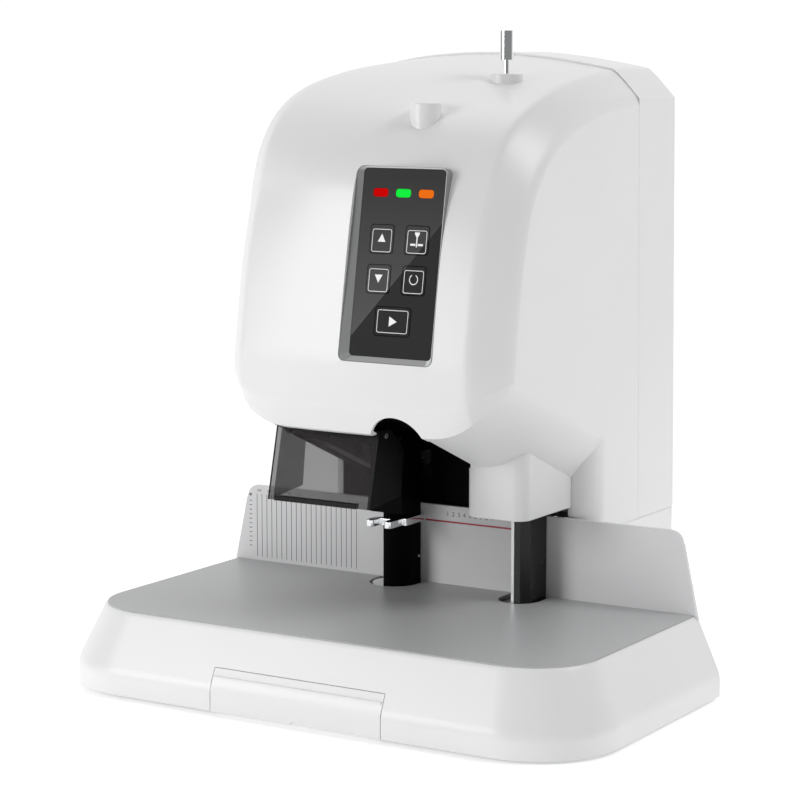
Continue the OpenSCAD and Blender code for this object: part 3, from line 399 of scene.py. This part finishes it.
def raw_ring(x, coarse=False):
    """Closed [y, z] outline of the head at sideways place x."""
    a = min(abs(x), HALF)
    r = run_at(x)
    zl = LIP + (0 if a <= 50 else 36 * ((a - 50) / (HALF - 50)) ** 2.6)
    h = max(3.0, r[0][1] - zl)
    k = min(1.0, h / 30)
    yf = r[0][0]
    reach = a - HALF + COLUMN_R
    rise = 0 if reach <= 0 else COLUMN_R - math.sqrt(max(0.0, COLUMN_R ** 2 - reach ** 2))
    yc = COLUMN_Y + rise
    zc = zl - SLOPE * (yc - yf - 8 * k)
    start = (yf + 8 * k, zl)
    under = [(yc + (start[0] - yc) * i / 10, zc + (zl - zc) * i / 10) for i in range(10)]
    # a leaning band under the face, parted from it by a soft crease
    fold = (yf - 0.1 * k, zl + LIP_BAND * h)

    def between(a, b, steps):
        return [(a[0] + (b[0] - a[0]) * t, a[1] + (b[1] - a[1]) * t) for t in steps]

    lip = between(start, fold, (0.0, 0.04, 0.10, 0.25, 0.45, 0.65, 0.85, 0.94))
    lip += [(fold[0] + 0.12 * k, fold[1])] + between(fold, r[0], (0.08, 0.2, 0.4, 0.6, 0.8))
    if coarse:
        lip = between(start, fold, (0.0, 0.5, 1.0)) + between(fold, r[0], (0.5,))
    return [(yc, COLUMN_Z)] + under + lip + r + [(120.0, COLUMN_Z)]


def soft_ring(x, reach=2.2):
    """The outline averaged over a few millimetres of x, to round the creases over the head."""
    if abs(x) > HALF - reach - 0.5:
        reach = max(0.0, HALF - abs(x) - 0.5)
    if reach < 0.2:
        return raw_ring(x)
    weights = ((-1.0, 1), (-0.5, 2), (0.0, 3), (0.5, 2), (1.0, 1))
    rings = [(raw_ring(x + s * reach), w) for s, w in weights]
    total = sum(w for _, w in rings)
    return [tuple(sum(r[i][a] * w for r, w in rings) / total for a in (0, 1))
            for i in range(len(rings[0][0]))]


def drawn_in(ring, d):
    """The outline moved towards the hub by d, for the rounded side edge; the foot stays."""
    out = []
    n = len(ring)
    for i, (y, z) in enumerate(ring):
        if i == 0 or i == n - 1:
            out.append((y, z))
        elif i == 1:
            out.append((y, z + d))
        else:
            l = math.hypot(HUB[0] - y, HUB[1] - z)
            out.append((y + (HUB[0] - y) / l * d, z + (HUB[1] - z) / l * d))
    return out


def head_rings(edge_r=4.5):
    xs = [HALF - edge_r - i * (HALF - edge_r) / 46 for i in range(46)] + [0.0]
    xs = [-x for x in xs] + xs[-2::-1]
    rings = [(x, soft_ring(x)) for x in xs]
    for s in (-1, 1):
        arc = []
        for i in range(1, 7):
            t = math.radians(15 * i)
            x = s * (HALF - edge_r + edge_r * math.sin(t))
            arc.append((x, drawn_in(soft_ring(x), edge_r * (1 - math.cos(t)))))
        rings = arc[::-1] + rings if s < 0 else rings + arc
    return rings


def inner_ring(x, t):
    """The outline moved inward by the skin thickness, run out past the foot and the seam."""
    p = raw_ring(x, coarse=True)
    n = len(p)
    out = []
    for i in range(n):
        if i == 0:
            out.append((p[0][0] + t, COLUMN_Z - 10))
        elif i == 1:
            out.append((p[1][0] + t, p[1][1] + t * 1.1))
        elif i == n - 2:
            out.append((130.0, p[i][1] - t))
        elif i == n - 1:
            out.append((130.0, COLUMN_Z - 10))
        else:
            a, b = p[i - 1], p[(i + 1) % n]
            dy, dz = b[0] - a[0], b[1] - a[1]
            l = math.hypot(dy, dz)
            out.append((p[i][0] + t * dz / l, p[i][1] - t * dy / l))
    return out


STATIONS = (-1, -0.985, -0.96, -0.92, -0.88, -0.845, -FACE / HALF, -0.7, -0.55, -0.35, -0.12,
            0.12, 0.35, 0.55, 0.7, FACE / HALF, 0.845, 0.88, 0.92, 0.96, 0.985, 1)
PANEL_AT = (30.0, -87.6, 288.0)
PANEL_TILT = 9.4
PANEL_TURN = (Matrix.Translation([v * MM for v in PANEL_AT])
              @ Matrix.Rotation(math.radians(90 - PANEL_TILT), 4, "X"))
FRONT_SPOUT = (27, -48)
NEEDLE_SPOUT = (49.5, 17)


def on_panel(obj):
    """Takes a mesh drawn flat in metres to the tilted control panel."""
    obj.data.transform(PANEL_TURN)
    return obj


def prism(ring, z0, z1, name="cutter"):
    n = len(ring)
    points = [(a * MM, b * MM, z * MM) for z in (z0, z1) for a, b in ring]
    faces = [(i, (i + 1) % n, n + (i + 1) % n, n + i) for i in range(n)]
    faces += [tuple(range(n - 1, -1, -1)), tuple(range(n, 2 * n))]
    mesh = bpy.data.meshes.new(name)
    mesh.from_pydata(points, [], faces)
    return new_object(name, mesh)


def bezel_ring(grow=0.0):
    """Outline of the panel frame: broad at the left and below, narrow at the right and above."""
    ring = round_rect_ring(67.2 + 2 * grow, 125.2 + 2 * grow, 4.6 + grow)
    return [(a - 2.5 + (0.02 * b if a < 0 else 0), b - 1.3) for a, b in ring]


def hood_corner():
    """The bit of underside left standing outside the hood's round front corner."""
    arc = [(52 - 8.7 * math.sin(math.radians(a)), -16 - 8.7 * math.cos(math.radians(a)))
           for a in range(0, 91, 9)]
    return [(42.9, -16), (42.9, -25.1), (52, -25.1)] + arc


def head_skin():
    shell = lofted("head_skin", [[(x, y, z) for y, z in r] for x, r in head_rings()])
    hollow = lofted("cutter", [[(k * (HALF - SKIN), y, z) for y, z in inner_ring(k * HALF, SKIN)]
                               for k in STATIONS])
    turn_y = Matrix.Rotation(math.radians(90), 4, "X")
    carve(shell, hollow,
          block(-200, 200, SEAM_Y + LEAN * 51, 300, 50, 500, lean=LEAN),
          block(-52, 52, -84, -25.01, 80, 190),
          block(-52, 43, -25.02, 47, 80, 182),
          block(42, 85.6, -22.6, 47, 80, 182),
          block(-72, 12, -88, -44, 80, 190),
          drum(31, -60, 170.5, 20, 60, turn_y),
          on_panel(prism(bezel_ring(0.1), -13, 22)),
          prism(hood_corner(), 80, 182),
          drum(*FRONT_SPOUT, 340, 10, 90),
          drum(*NEEDLE_SPOUT, 340, 11, 90))
    smooth(shell, 32)
    return piece(shell, white_plastic, "base", "white_cover", "head_cover")


head = head_skin()
head_tree = BVHTree.FromPolygons([v.co.copy() for v in head.data.vertices],
                                 [tuple(p.vertices) for p in head.data.polygons])


# ---------------------------------------------------------------- rear cover
def rear_rings(t, xs, foot_z, start, edge_r):
    top = [(x * (HALF - t) / HALF, raw_ring(x)[-2][1] - t) for x in xs]
    section = [(top[0][0], foot_z)] + top + [(top[-1][0], foot_z)]
    depth = BACK_Y - SEAM_Y - t
    steps = [(start, 0.0), (depth * 0.5, 0.0)]
    for a in (0, 15, 30, 45, 60, 75, 90):
        t = math.radians(a)
        steps.append((depth - edge_r + edge_r * math.sin(t), edge_r * (1 - math.cos(t))))
    rings = []
    for d, inset in steps:
        rings.append([(x * (1 - inset / HALF), SEAM_Y + d - LEAN * (z - COLUMN_Z),
                       z - (inset if z > 200 else 0)) for x, z in section])
    return rings


VENTS = 10
VENT_PITCH = 12.6
VENT_W = 6
SCREW_X = 80
SCREW_Z = (150, 300)


def rear_skin():
    fine = [-HALF + i * 2 * HALF / 80 for i in range(81)]
    coarse = [k * HALF for k in STATIONS]
    shell = lofted("rear_skin", rear_rings(0, fine, COLUMN_Z, 0.25, 4.5))
    hollow = lofted("cutter", rear_rings(SKIN, coarse, COLUMN_Z - 5, -10, 3.5))
    turn_y = Matrix.Rotation(math.radians(-90), 4, "X")
    cutters = [hollow]
    cutters += [block(-60 + i * VENT_PITCH, VENT_W - 60 + i * VENT_PITCH, 135, 170, 330, 360)
                for i in range(VENTS)]
    cutters += [drum(s * SCREW_X, BACK_Y - 1.1 - LEAN * (z - COLUMN_Z), z, 3.6, 6, turn_y, 32)
                for s in (-1, 1) for z in SCREW_Z]
    carve(shell, *cutters)
    smooth(shell, 32)
    return piece(shell, white_plastic, "base", "white_cover", "rear_cover")


rear_skin()


# ---------------------------------------------------------------- low base
TABLE_Y = 38.5
GAUGE_Y = 35.5
BASE_HALF = 200
BASE_FRONT = -165
BASE_CORNER = 58
TABLE_CORNER = 46
TABLE_INSET = 17
DRAWER_X = 1


def base_outline(inset):
    """Three sides of the base, drawn in by inset, its corners tighter towards the table."""
    tighter = min(1.0, max(0.0, inset / TABLE_INSET))
    r = BASE_CORNER - (BASE_CORNER - TABLE_CORNER) * tighter
    w = BASE_HALF - inset
    y0 = BASE_FRONT + inset
    count = 30
    left = [(-w + r - r * math.sin(math.radians(90 - 90 * i / count)),
             y0 + r - r * math.cos(math.radians(90 - 90 * i / count))) for i in range(count + 1)]
    side = [(-w, TABLE_Y), (-w, (TABLE_Y + y0 + r) / 2)]
    half = side + left
    return half + [(-x, y) for x, y in half[::-1]]


def curve3(a, b, c, count=5):
    return [tuple((1 - t) ** 2 * a[k] + 2 * t * (1 - t) * b[k] + t * t * c[k] for k in (0, 1))
            for t in [i / count for i in range(count + 1)]]


def base_skin():
    profile = [(0.7, 2.0), (0.15, 2.35), (0.0, 3.0)]
    profile += curve3((0, 13.0), (0, 17), (1.83, 21.0))
    profile += curve3((15.9, 51.8), (17, 54.2), (17.8, 54.2), 4)
    profile += [(18.0, 54.0), (18.0, 51.5), (19.6, 51.5), (2.6, 17.2), (2.6, 2.0)]
    lines = [[(x, y, z) for x, y in base_outline(i)] for i, z in profile]
    count = len(lines[0])
    rings = [[line[j] for line in lines] for j in range(count)]
    shell = lofted("base_skin", rings)
    carve(shell, block(-63.5, 65.5, -170, -150, -1, 30),
          block(-300, 300, GAUGE_Y, TABLE_Y + 5, 51.5, 60))
    walls = []
    for s in (-1, 1):
        edge = [(103.4, 2.0), (199.2, 2.0), (199.9, 3.0), (199.9, 14.0), (199.4, 17.5),
                (198.1, 21.0), (183.9, 51.6), (103.4, 51.6)]
        walls.append(lofted("wall", [[(s * x, y, z) for x, z in edge] for y in (35.9, TABLE_Y)]))
        c = DRAWER_X + s * 65.8
        walls.append(block(c - 2.5, c + 2.5, -149, -35, 3.6, 32))
    joined(shell, walls)
    smooth(shell, 30)
    return piece(shell, white_plastic, "base", "white_cover", "base_shell")


base_skin()

# ---------------------------------------------------------------- the other solids, edges broken
edge_width = {
    "pedestal": 0.8, "table_plate": 0.35, "bottom_plate": 0.2, "rubber_feet": 0.4,
    "back_gauge": 0.5, "press_hood": 1.6, "throat_liner": 0.25, "front_spout": 1.0,
    "needle_spout": 1.0, "cleaning_needle": 0.3, "panel_bezel": 0.5, "chip_drawer": 0.7,
    "drill_guard": 0.3, "guard_fork": 0.5, "drill_nose": 0.6, "press_guard": 0.3,
    "shield": 0.2, "shield_grip": 0.3, "shield_pins": 0.2, "power_inlet": 0.5,
    "power_switch": 0.4, "cover_screws": 0.15, "key_up": 0.12, "key_rivet": 0.12,
    "key_down": 0.12, "key_reset": 0.12, "key_start": 0.12, "led_red": 0.25,
    "led_green": 0.25, "led_orange": 0.25, "panel_overlay": 0.15,
}
made = {"head_cover", "rear_cover", "base_shell", "panel_bezel", "drill_pad", "shield_grip"}
crisp = {"panel_overlay", "key_up", "key_rivet", "key_down", "key_reset", "key_start"}
parts = {n: dressed(n, edge_width.get(n, 0.3), 3 if n in crisp else 38)
         for n in sorted(nodes) if n not in made}

# the hood gets the darker white as painted shade; the guards, nose and liner get the less shiny
# black
for n, mat in (("press_hood", hood_white_painted_shade), ("drill_guard", deep_black), ("drill_nose", deep_black),
               ("throat_liner", deep_black)):
    parts[n].data.materials[0] = mat


# ---------------------------------------------------------------- control panel
def skin_height(a, b):
    """Height of the head's outside over the panel plane at a, b, along the panel's normal."""
    start = PANEL_TURN @ Vector((a * MM, b * MM, 30 * MM))
    down = PANEL_TURN.to_3x3() @ Vector((0, 0, -1))
    hit = head_tree.ray_cast(start, down)
    return 30 - hit[3] / MM if hit[0] else 0.4


def panel_frame():
    """Frame round the glass, its face falling a little towards the glass."""
    glass = round_rect_ring(60.8, 120.3, 3)
    lower = round_rect_ring(54.5, 114, 2)
    n = len(glass)
    rise = [max(0.15, min(6.0, skin_height(a, b) - 0.25)) for a, b in bezel_ring(0.5)]
    level = [(0.12 + z) / 2 if z < 0.4 else 0.12 for z in rise]
    loops = [(bezel_ring(), [-7.0] * n), (bezel_ring(), [z - 0.3 for z in rise]),
             (bezel_ring(-0.25), rise), (glass, level),
             (glass, [-2.05] * n), (lower, [-2.05] * n), (lower, [-7.0] * n)]
    points = [(a * MM, b * MM, z * MM) for ring, zs in loops for (a, b), z in zip(ring, zs)]
    faces = [(j * n + i, j * n + (i + 1) % n, (j + 1) % 7 * n + (i + 1) % n, (j + 1) % 7 * n + i)
             for j in range(7) for i in range(n)]
    obj = on_panel(new_object("panel_frame", closed_mesh("panel_frame", points, faces)))
    smooth(obj, 25)
    return piece(obj, bezel_silver, "base", "bezel_silver", "panel_bezel")


panel_frame()


def panel_film_painted_reflection():
    """Dark glass film with a painted reflection: a paler upper left, parted from the dark by a
    slanting line.
    """
    mat = finish("panel_film_painted_reflection", (0.030, 0.030, 0.031), 0.16, mottle=0.03, mottle_scale=60,
                 spread=0.03, shine=0.03)
    tree = mat.node_tree
    shader = tree.nodes["Principled BSDF"]
    place = tree.nodes.new("ShaderNodeTexCoord")
    split = tree.nodes.new("ShaderNodeSeparateXYZ")
    tree.links.new(place.outputs["Object"], split.inputs["Vector"])

    def calc(kind, a, b):
        node = tree.nodes.new("ShaderNodeMath")
        node.operation = kind
        for i, v in enumerate((a, b)):
            if isinstance(v, (int, float)):
                node.inputs[i].default_value = v
            else:
                tree.links.new(v, node.inputs[i])
        return node.outputs[0]

    # the painted reflection's edge falls from the right edge down to the left edge
    line = calc("SUBTRACT", split.outputs["Z"], calc("MULTIPLY", split.outputs["X"], 1.21))
    # mask of the painted reflection: 1 above the slanting line, 0 below it
    above = calc("MULTIPLY", calc("SUBTRACT", line, 0.2410), 4000.0)
    above = calc("MINIMUM", calc("MAXIMUM", above, 0.0), 1.0)
    # the painted reflection is paler lower down, next to the slanting line
    reflection_fade = calc("MULTIPLY", calc("SUBTRACT", 0.342, split.outputs["Z"]), 9.0)
    reflection_fade = calc("MINIMUM", calc("MAXIMUM", reflection_fade, 0.0), 1.0)
    reflection_tone = tree.nodes.new("ShaderNodeValToRGB")
    reflection_tone.color_ramp.elements[0].color = (0.027, 0.027, 0.028, 1)
    reflection_tone.color_ramp.elements[1].color = (0.092, 0.092, 0.093, 1)
    tree.links.new(reflection_fade, reflection_tone.inputs["Fac"])
    # dark film below the line, painted reflection above it
    blend = tree.nodes.new("ShaderNodeMix")
    blend.data_type = "RGBA"
    blend.inputs[6].default_value = (0.014, 0.014, 0.015, 1)
    tree.links.new(above, blend.inputs[0])
    tree.links.new(reflection_tone.outputs["Color"], blend.inputs[7])
    tree.links.new(blend.outputs[2], shader.inputs["Base Color"])
    return mat


film = panel_film_painted_reflection()
# the panel face and the keys take the film with its painted reflection
for n in ("panel_overlay", "key_up", "key_rivet", "key_down", "key_reset", "key_start"):
    parts[n].data.materials.clear()
    parts[n].data.materials.append(film)

KEYS = {"up": (-13, 15, 17, 18), "rivet": (13, 15, 17, 18), "down": (-13, -10.5, 17, 18),
        "reset": (13, -10.5, 17, 18), "start": (0, -37, 26, 18)}
MARK_DROP = {"up": 1.0, "rivet": 1.0, "down": 0.8, "reset": 0.8, "start": 0.0}
MARK_WIDE = 0.93
MARK_TALL = 0.95
PRINT_Z = 0.17


def flat_print(name, loops, z=PRINT_Z, thick=0.05):
    """Flat print: each entry is an outline, or an outline with an inner outline cut out of it."""
    bm = bmesh.new()
    for entry in loops:
        outer, inner = entry if isinstance(entry, tuple) else (entry, None)
        if inner is None:
            bm.faces.new([bm.verts.new((a * MM, b * MM, z * MM)) for a, b in outer])
        else:
            n = len(outer)
            vo = [bm.verts.new((a * MM, b * MM, z * MM)) for a, b in outer]
            vi = [bm.verts.new((a * MM, b * MM, z * MM)) for a, b in inner]
            for i in range(n):
                k = (i + 1) % n
                bm.faces.new((vo[i], vo[k], vi[k], vi[i]))
    bmesh.ops.recalc_face_normals(bm, faces=bm.faces)
    for f in bm.faces:
        if f.normal.z < 0:
            f.normal_flip()
    raised = bmesh.ops.extrude_face_region(bm, geom=list(bm.faces))
    bmesh.ops.translate(bm, verts=[g for g in raised["geom"] if isinstance(g, bmesh.types.BMVert)],
                        vec=(0, 0, thick * MM))
    bmesh.ops.recalc_face_normals(bm, faces=bm.faces)
    mesh = bpy.data.meshes.new(name)
    bm.to_mesh(mesh)
    bm.free()
    return new_object(name, mesh)


def key_marks():
    def shifted(points, key):
        x, y = KEYS[key][:2]
        return [(a * MARK_WIDE + x, b * MARK_TALL + y - MARK_DROP[key]) for a, b in points]

    def frame_ring(key):
        w, h = KEYS[key][2] - 1.6, KEYS[key][3] - 2.6
        return (shifted(round_rect_ring(w, h, 1.6), key),
                shifted(round_rect_ring(w - 0.8, h - 0.8, 1.2), key))

    def arc_band(r0, r1, a0, a1, key, cy=0.0, count=40):
        def arc(r, start, end):
            turns = [math.radians(start + (end - start) * i / count) for i in range(count + 1)]
            return [(r * math.cos(t), cy + r * math.sin(t)) for t in turns]

        return shifted(arc(r1, a0, a1) + arc(r0, a1, a0), key)

    up = [(-3.1, -0.9), (3.1, -0.9), (0, 4.6)]
    marks = {
        "up": [frame_ring("up"), shifted(up, "up")],
        "down": [frame_ring("down"), shifted([(a, 2.9 - b) for a, b in up][::-1], "down")],
        "reset": [frame_ring("reset"), arc_band(2.9, 3.5, 118, 422, "reset", 1.6)],
        "rivet": [frame_ring("rivet"),
                  shifted([(-0.45, -3.6), (0.45, -3.6), (0.45, 3.0), (-0.45, 3.0)], "rivet"),
                  shifted([(-0.5, 3.0), (0.5, 3.0), (1.9, 5.2), (1.9, 6.4), (-1.9, 6.4),
                           (-1.9, 5.2)], "rivet"),
                  shifted([(-5.0, -2.6), (-0.9, -2.6), (-0.9, -1.2), (-5.0, -1.2)], "rivet"),
                  shifted([(0.9, -2.6), (5.0, -2.6), (5.0, -1.2), (0.9, -1.2)], "rivet")],
        "start": [frame_ring("start"), shifted([(-2.6, -3.4), (3.4, 0), (-2.6, 3.4)], "start")],
    }
    for key, loops in marks.items():
        piece(on_panel(flat_print(key + "_mark", loops)), pale_ink, key + "_key", "key_film")


key_marks()


def figures(name, text, size, x, y, turn, mat, body, slot, thick=0.03):
    """Flat figures, laid at x, y of the plane that turn gives."""
    curve = bpy.data.curves.new(name, "FONT")
    curve.body = text
    curve.size = size * MM
    curve.align_x = "CENTER"
    curve.align_y = "CENTER"
    curve.extrude = thick * MM / 2
    curve.resolution_u = 3
    obj = new_object(name, curve)
    bpy.context.view_layer.update()
    graph = bpy.context.evaluated_depsgraph_get()
    mesh = bpy.data.meshes.new_from_object(obj.evaluated_get(graph))
    bpy.data.objects.remove(obj)
    mesh.transform(turn @ Matrix.Translation((x * MM, y * MM, 0)))
    out = new_object(name, mesh)
    return piece(out, mat, body, slot)


# ---------------------------------------------------------------- small fittings
PAD_AT = (-41.0, 24.0)
PAD_R = 11.9
PAD_WIDE_R = 15.3
PAD_BACK = 8.2


def pad_point(r, turn):
    """A point of the pad's edge; the edge runs straight behind, PAD_BACK from the middle."""
    return PAD_AT[0] + r * math.cos(turn), PAD_AT[1] + min(PAD_BACK, r * math.sin(turn))


def station_pad():
    """Pale pad under the drill, broad where the guard leaves it open."""
    cx = PAD_AT[0]
    left = [pad_point(PAD_WIDE_R, math.radians(a)) for a in range(90, 271, 6)]
    right = [pad_point(PAD_R, math.radians(a)) for a in range(-90, 91, 6)]
    obj = prism([(cx - 0.1, y) if abs(x - cx) < 0.05 else (x, y) for x, y in left] + right,
                52.7, 54.6, "station_pad")
    foot = prism([pad_point(PAD_R, math.tau * i / 48) for i in range(48)], 47.6, 52.75, "pad_foot")
    joined(obj, [foot], weld=1e-7)
    smooth(obj, 30)
    return piece(obj, pad_white, body_of["drill_pad"], slot_of["drill_pad"], "drill_pad")


SHIELD_Y = -90
SHIELD_LEAN = 0.24
SHIELD_LOW = 128
SHIELD_TOP = 178


def shield_rim():
    """Black edging of the shield, thin at the left and broad at the right, and its right cheek."""
    strips = [block(x0, x1, -90.12, -89.9, SHIELD_LOW, SHIELD_TOP, lean=-SHIELD_LEAN)
              for x0, x1 in ((-69, -67.9), (8.4, 10.5))]
    wedge = [(-67.9, SHIELD_TOP), (-67.9, 177), (8.4, 169), (8.4, SHIELD_TOP)]
    strips.append(lofted("wedge", [[(x, SHIELD_Y + SHIELD_LEAN * (z - SHIELD_LOW) + d, z)
                                    for x, z in wedge] for d in (-0.12, 0.1)]))
    cheek = [(-78, SHIELD_TOP), (-65, SHIELD_TOP), (-48, 162), (-52, 132), (SHIELD_Y, SHIELD_LOW)]
    strips.append(lofted("cheek", [[(x, y, z) for y, z in cheek] for x in (10.45, 10.62)]))
    rim = joined(strips[0], strips[1:])
    rim.name = "shield_rim"
    return piece(rim, black_plastic, body_of["shield"], slot_of["shield_grip"])


def guard_details():
    """Steel strip on the press guard's edge and the small stud on the drill guard."""
    edge = block(61.0, 63.1, 6.9, 7.06, 53.5, 139.8)
    edge.name = "press_guard_edge"
    piece(edge, steel, body_of["press_guard"], "steel")
    dot = drum(0, 0, 0, 0.9, 0.8, None, 24)
    dot.data.transform(Matrix.Translation((-26.2 * MM, 31.4 * MM, 73.4 * MM))
                       @ Matrix.Rotation(math.radians(90), 4, "Y"))
    dot.name = "drill_guard_stud"
    soften(dot, 0.25 * MM)
    piece(dot, pad_white, body_of["drill_guard"], slot_of["drill_guard"])


def grip_strip():
    """Black strip folded over the shield's lower edge, the finger grip."""
    strip = block(-64, 0, -90.5, -87.0, 127.7, 130.9, lean=-SHIELD_LEAN)
    strip.name = "grip_strip"
    soften(strip, 0.3 * MM)
    return piece(strip, black_plastic, body_of["shield_grip"], slot_of["shield_grip"],
                 "shield_grip")


def throat_side():
    """Black sheet that lines the throat behind the shield, left of the tool heads."""
    xs = [-94 + 42 * i / 12 for i in range(13)]
    rings = []
    for x in xs:
        p = raw_ring(x)
        back, front = p[1], p[10]
        k = (-56 - back[0]) / (front[0] - back[0])
        z0, z1 = back[1], back[1] + (front[1] - back[1]) * k
        rings.append([(x, back[0] - 0.3, z0 - 0.3), (x, -56, z1 - 0.3), (x, -56, z1 - 0.6),
                      (x, back[0] - 0.6, z0 - 0.7), (x, back[0] - 0.6, 103.0),
                      (x, back[0] - 0.3, 103.0)])
    sheet = lofted("throat_side", rings)
    return piece(sheet, deep_black, "base", slot_of["throat_liner"])


station_pad()
shield_rim()
grip_strip()
throat_side()
guard_details()


# ---------------------------------------------------------------- gauge print
def repeated_bars(name, count, pitch, width, height, mat, place, thick=0.05):
    """A row of equal upright bars made with geometry nodes, laid in its place as plain mesh."""
    tree = bpy.data.node_groups.new(name + "_rule", "GeometryNodeTree")
    face = tree.interface
    face.new_socket("Count", in_out="INPUT", socket_type="NodeSocketInt")
    for label in ("Pitch", "Width", "Height", "Thickness"):
        face.new_socket(label, in_out="INPUT", socket_type="NodeSocketFloat")
    face.new_socket("Geometry", in_out="OUTPUT", socket_type="NodeSocketGeometry")
    new = tree.nodes.new
    link = tree.links.new
    given = new("NodeGroupInput")
    out = new("NodeGroupOutput")
    row = new("GeometryNodeMeshLine")
    step = new("ShaderNodeCombineXYZ")
    size = new("ShaderNodeCombineXYZ")
    bar = new("GeometryNodeMeshCube")
    copies = new("GeometryNodeInstanceOnPoints")
    real = new("GeometryNodeRealizeInstances")
    paint = new("GeometryNodeSetMaterial")
    paint.inputs["Material"].default_value = mat
    link(given.outputs["Count"], row.inputs["Count"])
    link(given.outputs["Pitch"], step.inputs["X"])
    link(step.outputs[0], row.inputs["Offset"])
    link(given.outputs["Width"], size.inputs["X"])
    link(given.outputs["Height"], size.inputs["Y"])
    link(given.outputs["Thickness"], size.inputs["Z"])
    link(size.outputs[0], bar.inputs["Size"])
    link(row.outputs["Mesh"], copies.inputs["Points"])
    link(bar.outputs["Mesh"], copies.inputs["Instance"])
    link(copies.outputs["Instances"], real.inputs["Geometry"])
    link(real.outputs["Geometry"], paint.inputs["Geometry"])
    link(paint.outputs["Geometry"], out.inputs["Geometry"])
    obj = new_object(name, bpy.data.meshes.new(name))
    rule = obj.modifiers.new("rule", "NODES")
    rule.node_group = tree
    values = {"Count": count, "Pitch": pitch * MM, "Width": width * MM, "Height": height * MM,
              "Thickness": thick * MM}
    for item in face.items_tree:
        if item.in_out == "INPUT":
            rule[item.identifier] = values[item.name]
    baked(obj)
    obj.data.transform(place)
    return piece(obj, mat, "base", "gauge_plate")


# the gauge's front face, drawn as x to the right and y up
GAUGE_TURN = (Matrix.Translation((0, (GAUGE_Y - 0.02) * MM, 0))
              @ Matrix.Rotation(math.radians(90), 4, "X"))


def gauge_print():
    def at(x, z):
        return GAUGE_TURN @ Matrix.Translation((x * MM, z * MM, 0))

    repeated_bars("gauge_rules", 21, 4.26, 0.42, 46.0, print_ink, at(-165.0, 80.5))
    repeated_bars("gauge_ticks", 11, 3.3, 0.5, 2.2, print_ink,
                  at(-170.6, 65.2) @ Matrix.Rotation(math.radians(90), 4, "Z"))
    pointer = flat_print("gauge_pointer", [[(-1.3, 0), (1.3, 0), (0, -2.2)]], z=0)
    pointer.data.transform(at(-170.6, 103.4))
    piece(pointer, print_ink, "base", "gauge_plate")
    for i in range(5):
        figures("gauge_figure_%d" % i, str(200 - 20 * i), 2.5, -163.0 + i * 8.52, 106.2,
              GAUGE_TURN, print_ink, "base", "gauge_plate")
    for i in range(9):
        figures("gauge_figure_b%d" % i, str(i + 1), 4.3, -5.0 + i * 4.4, 104.2, GAUGE_TURN,
              print_ink, "base", "gauge_plate")
    repeated_bars("gauge_red_line", 1, 1.0, 78.0, 1.2, red_ink, at(16.0, 98.8))


gauge_print()

# ---------------------------------------------------------------- floor and light
floor_mat = finish("pale_floor", (0.93, 0.93, 0.93), 0.9, mottle=0.002)
floor_shader = floor_mat.node_tree.nodes["Principled BSDF"]
floor_shader.inputs["Emission Color"].default_value = (1, 1, 1, 1)
floor_shader.inputs["Emission Strength"].default_value = 0.34
floor_mesh = bpy.data.meshes.new("floor")
FLOOR_R = 1.4
FLOOR_SIDES = 96
floor_turns = [math.tau * i / FLOOR_SIDES for i in range(FLOOR_SIDES)]
floor_mesh.from_pydata([(FLOOR_R * math.cos(t), FLOOR_R * math.sin(t), 0) for t in floor_turns],
                       [], [tuple(range(FLOOR_SIDES))])
floor_mesh.materials.append(floor_mat)
new_object("floor", floor_mesh)


def studio_world():
    """White backdrop behind the machine, dimmer room in front of it."""
    world = bpy.data.worlds.new("studio")
    world.use_nodes = True
    tree = world.node_tree
    place = tree.nodes.new("ShaderNodeTexCoord")
    toward = tree.nodes.new("ShaderNodeVectorMath")
    toward.operation = "DOT_PRODUCT"
    toward.inputs[1].default_value = (-0.523, 0.852, 0.0)
    tree.links.new(place.outputs["Generated"], toward.inputs[0])
    ramp = tree.nodes.new("ShaderNodeValToRGB")
    ramp.color_ramp.interpolation = "EASE"
    ramp.color_ramp.elements[0].position = 0.50
    ramp.color_ramp.elements[0].color = (0.27, 0.27, 0.27, 1)
    ramp.color_ramp.elements[1].position = 0.94
    ramp.color_ramp.elements[1].color = (1, 1, 1, 1)
    spread = tree.nodes.new("ShaderNodeMapRange")
    spread.inputs["From Min"].default_value = -1.0
    spread.inputs["From Max"].default_value = 1.0
    tree.links.new(toward.outputs["Value"], spread.inputs["Value"])
    tree.links.new(spread.outputs["Result"], ramp.inputs["Fac"])
    back = tree.nodes["Background"]
    back.inputs["Strength"].default_value = 1.02
    tree.links.new(ramp.outputs["Color"], back.inputs["Color"])
    scene.world = world


studio_world()


def area_light(name, at, aim, size, power):
    data = bpy.data.lights.new(name, "AREA")
    data.shape = "RECTANGLE"
    data.size, data.size_y = size
    data.energy = power
    obj = bpy.data.objects.new(name, data)
    obj.location = at
    obj.rotation_euler = (Vector(aim) - Vector(at)).to_track_quat("-Z", "Y").to_euler()
    scene.collection.objects.link(obj)
    return obj


area_light("front_light", (-1.25, -2.00, 0.70), (0, 0, 0.24), (1.0, 1.0), 24.5)
area_light("side_light", (1.7, 0.45, 1.80), (0, 0, 0.2), (0.9, 0.9), 19)
area_light("top_light", (-0.3, 0.7, 2.2), (0, 0, 0.2), (1.4, 1.4), 8)
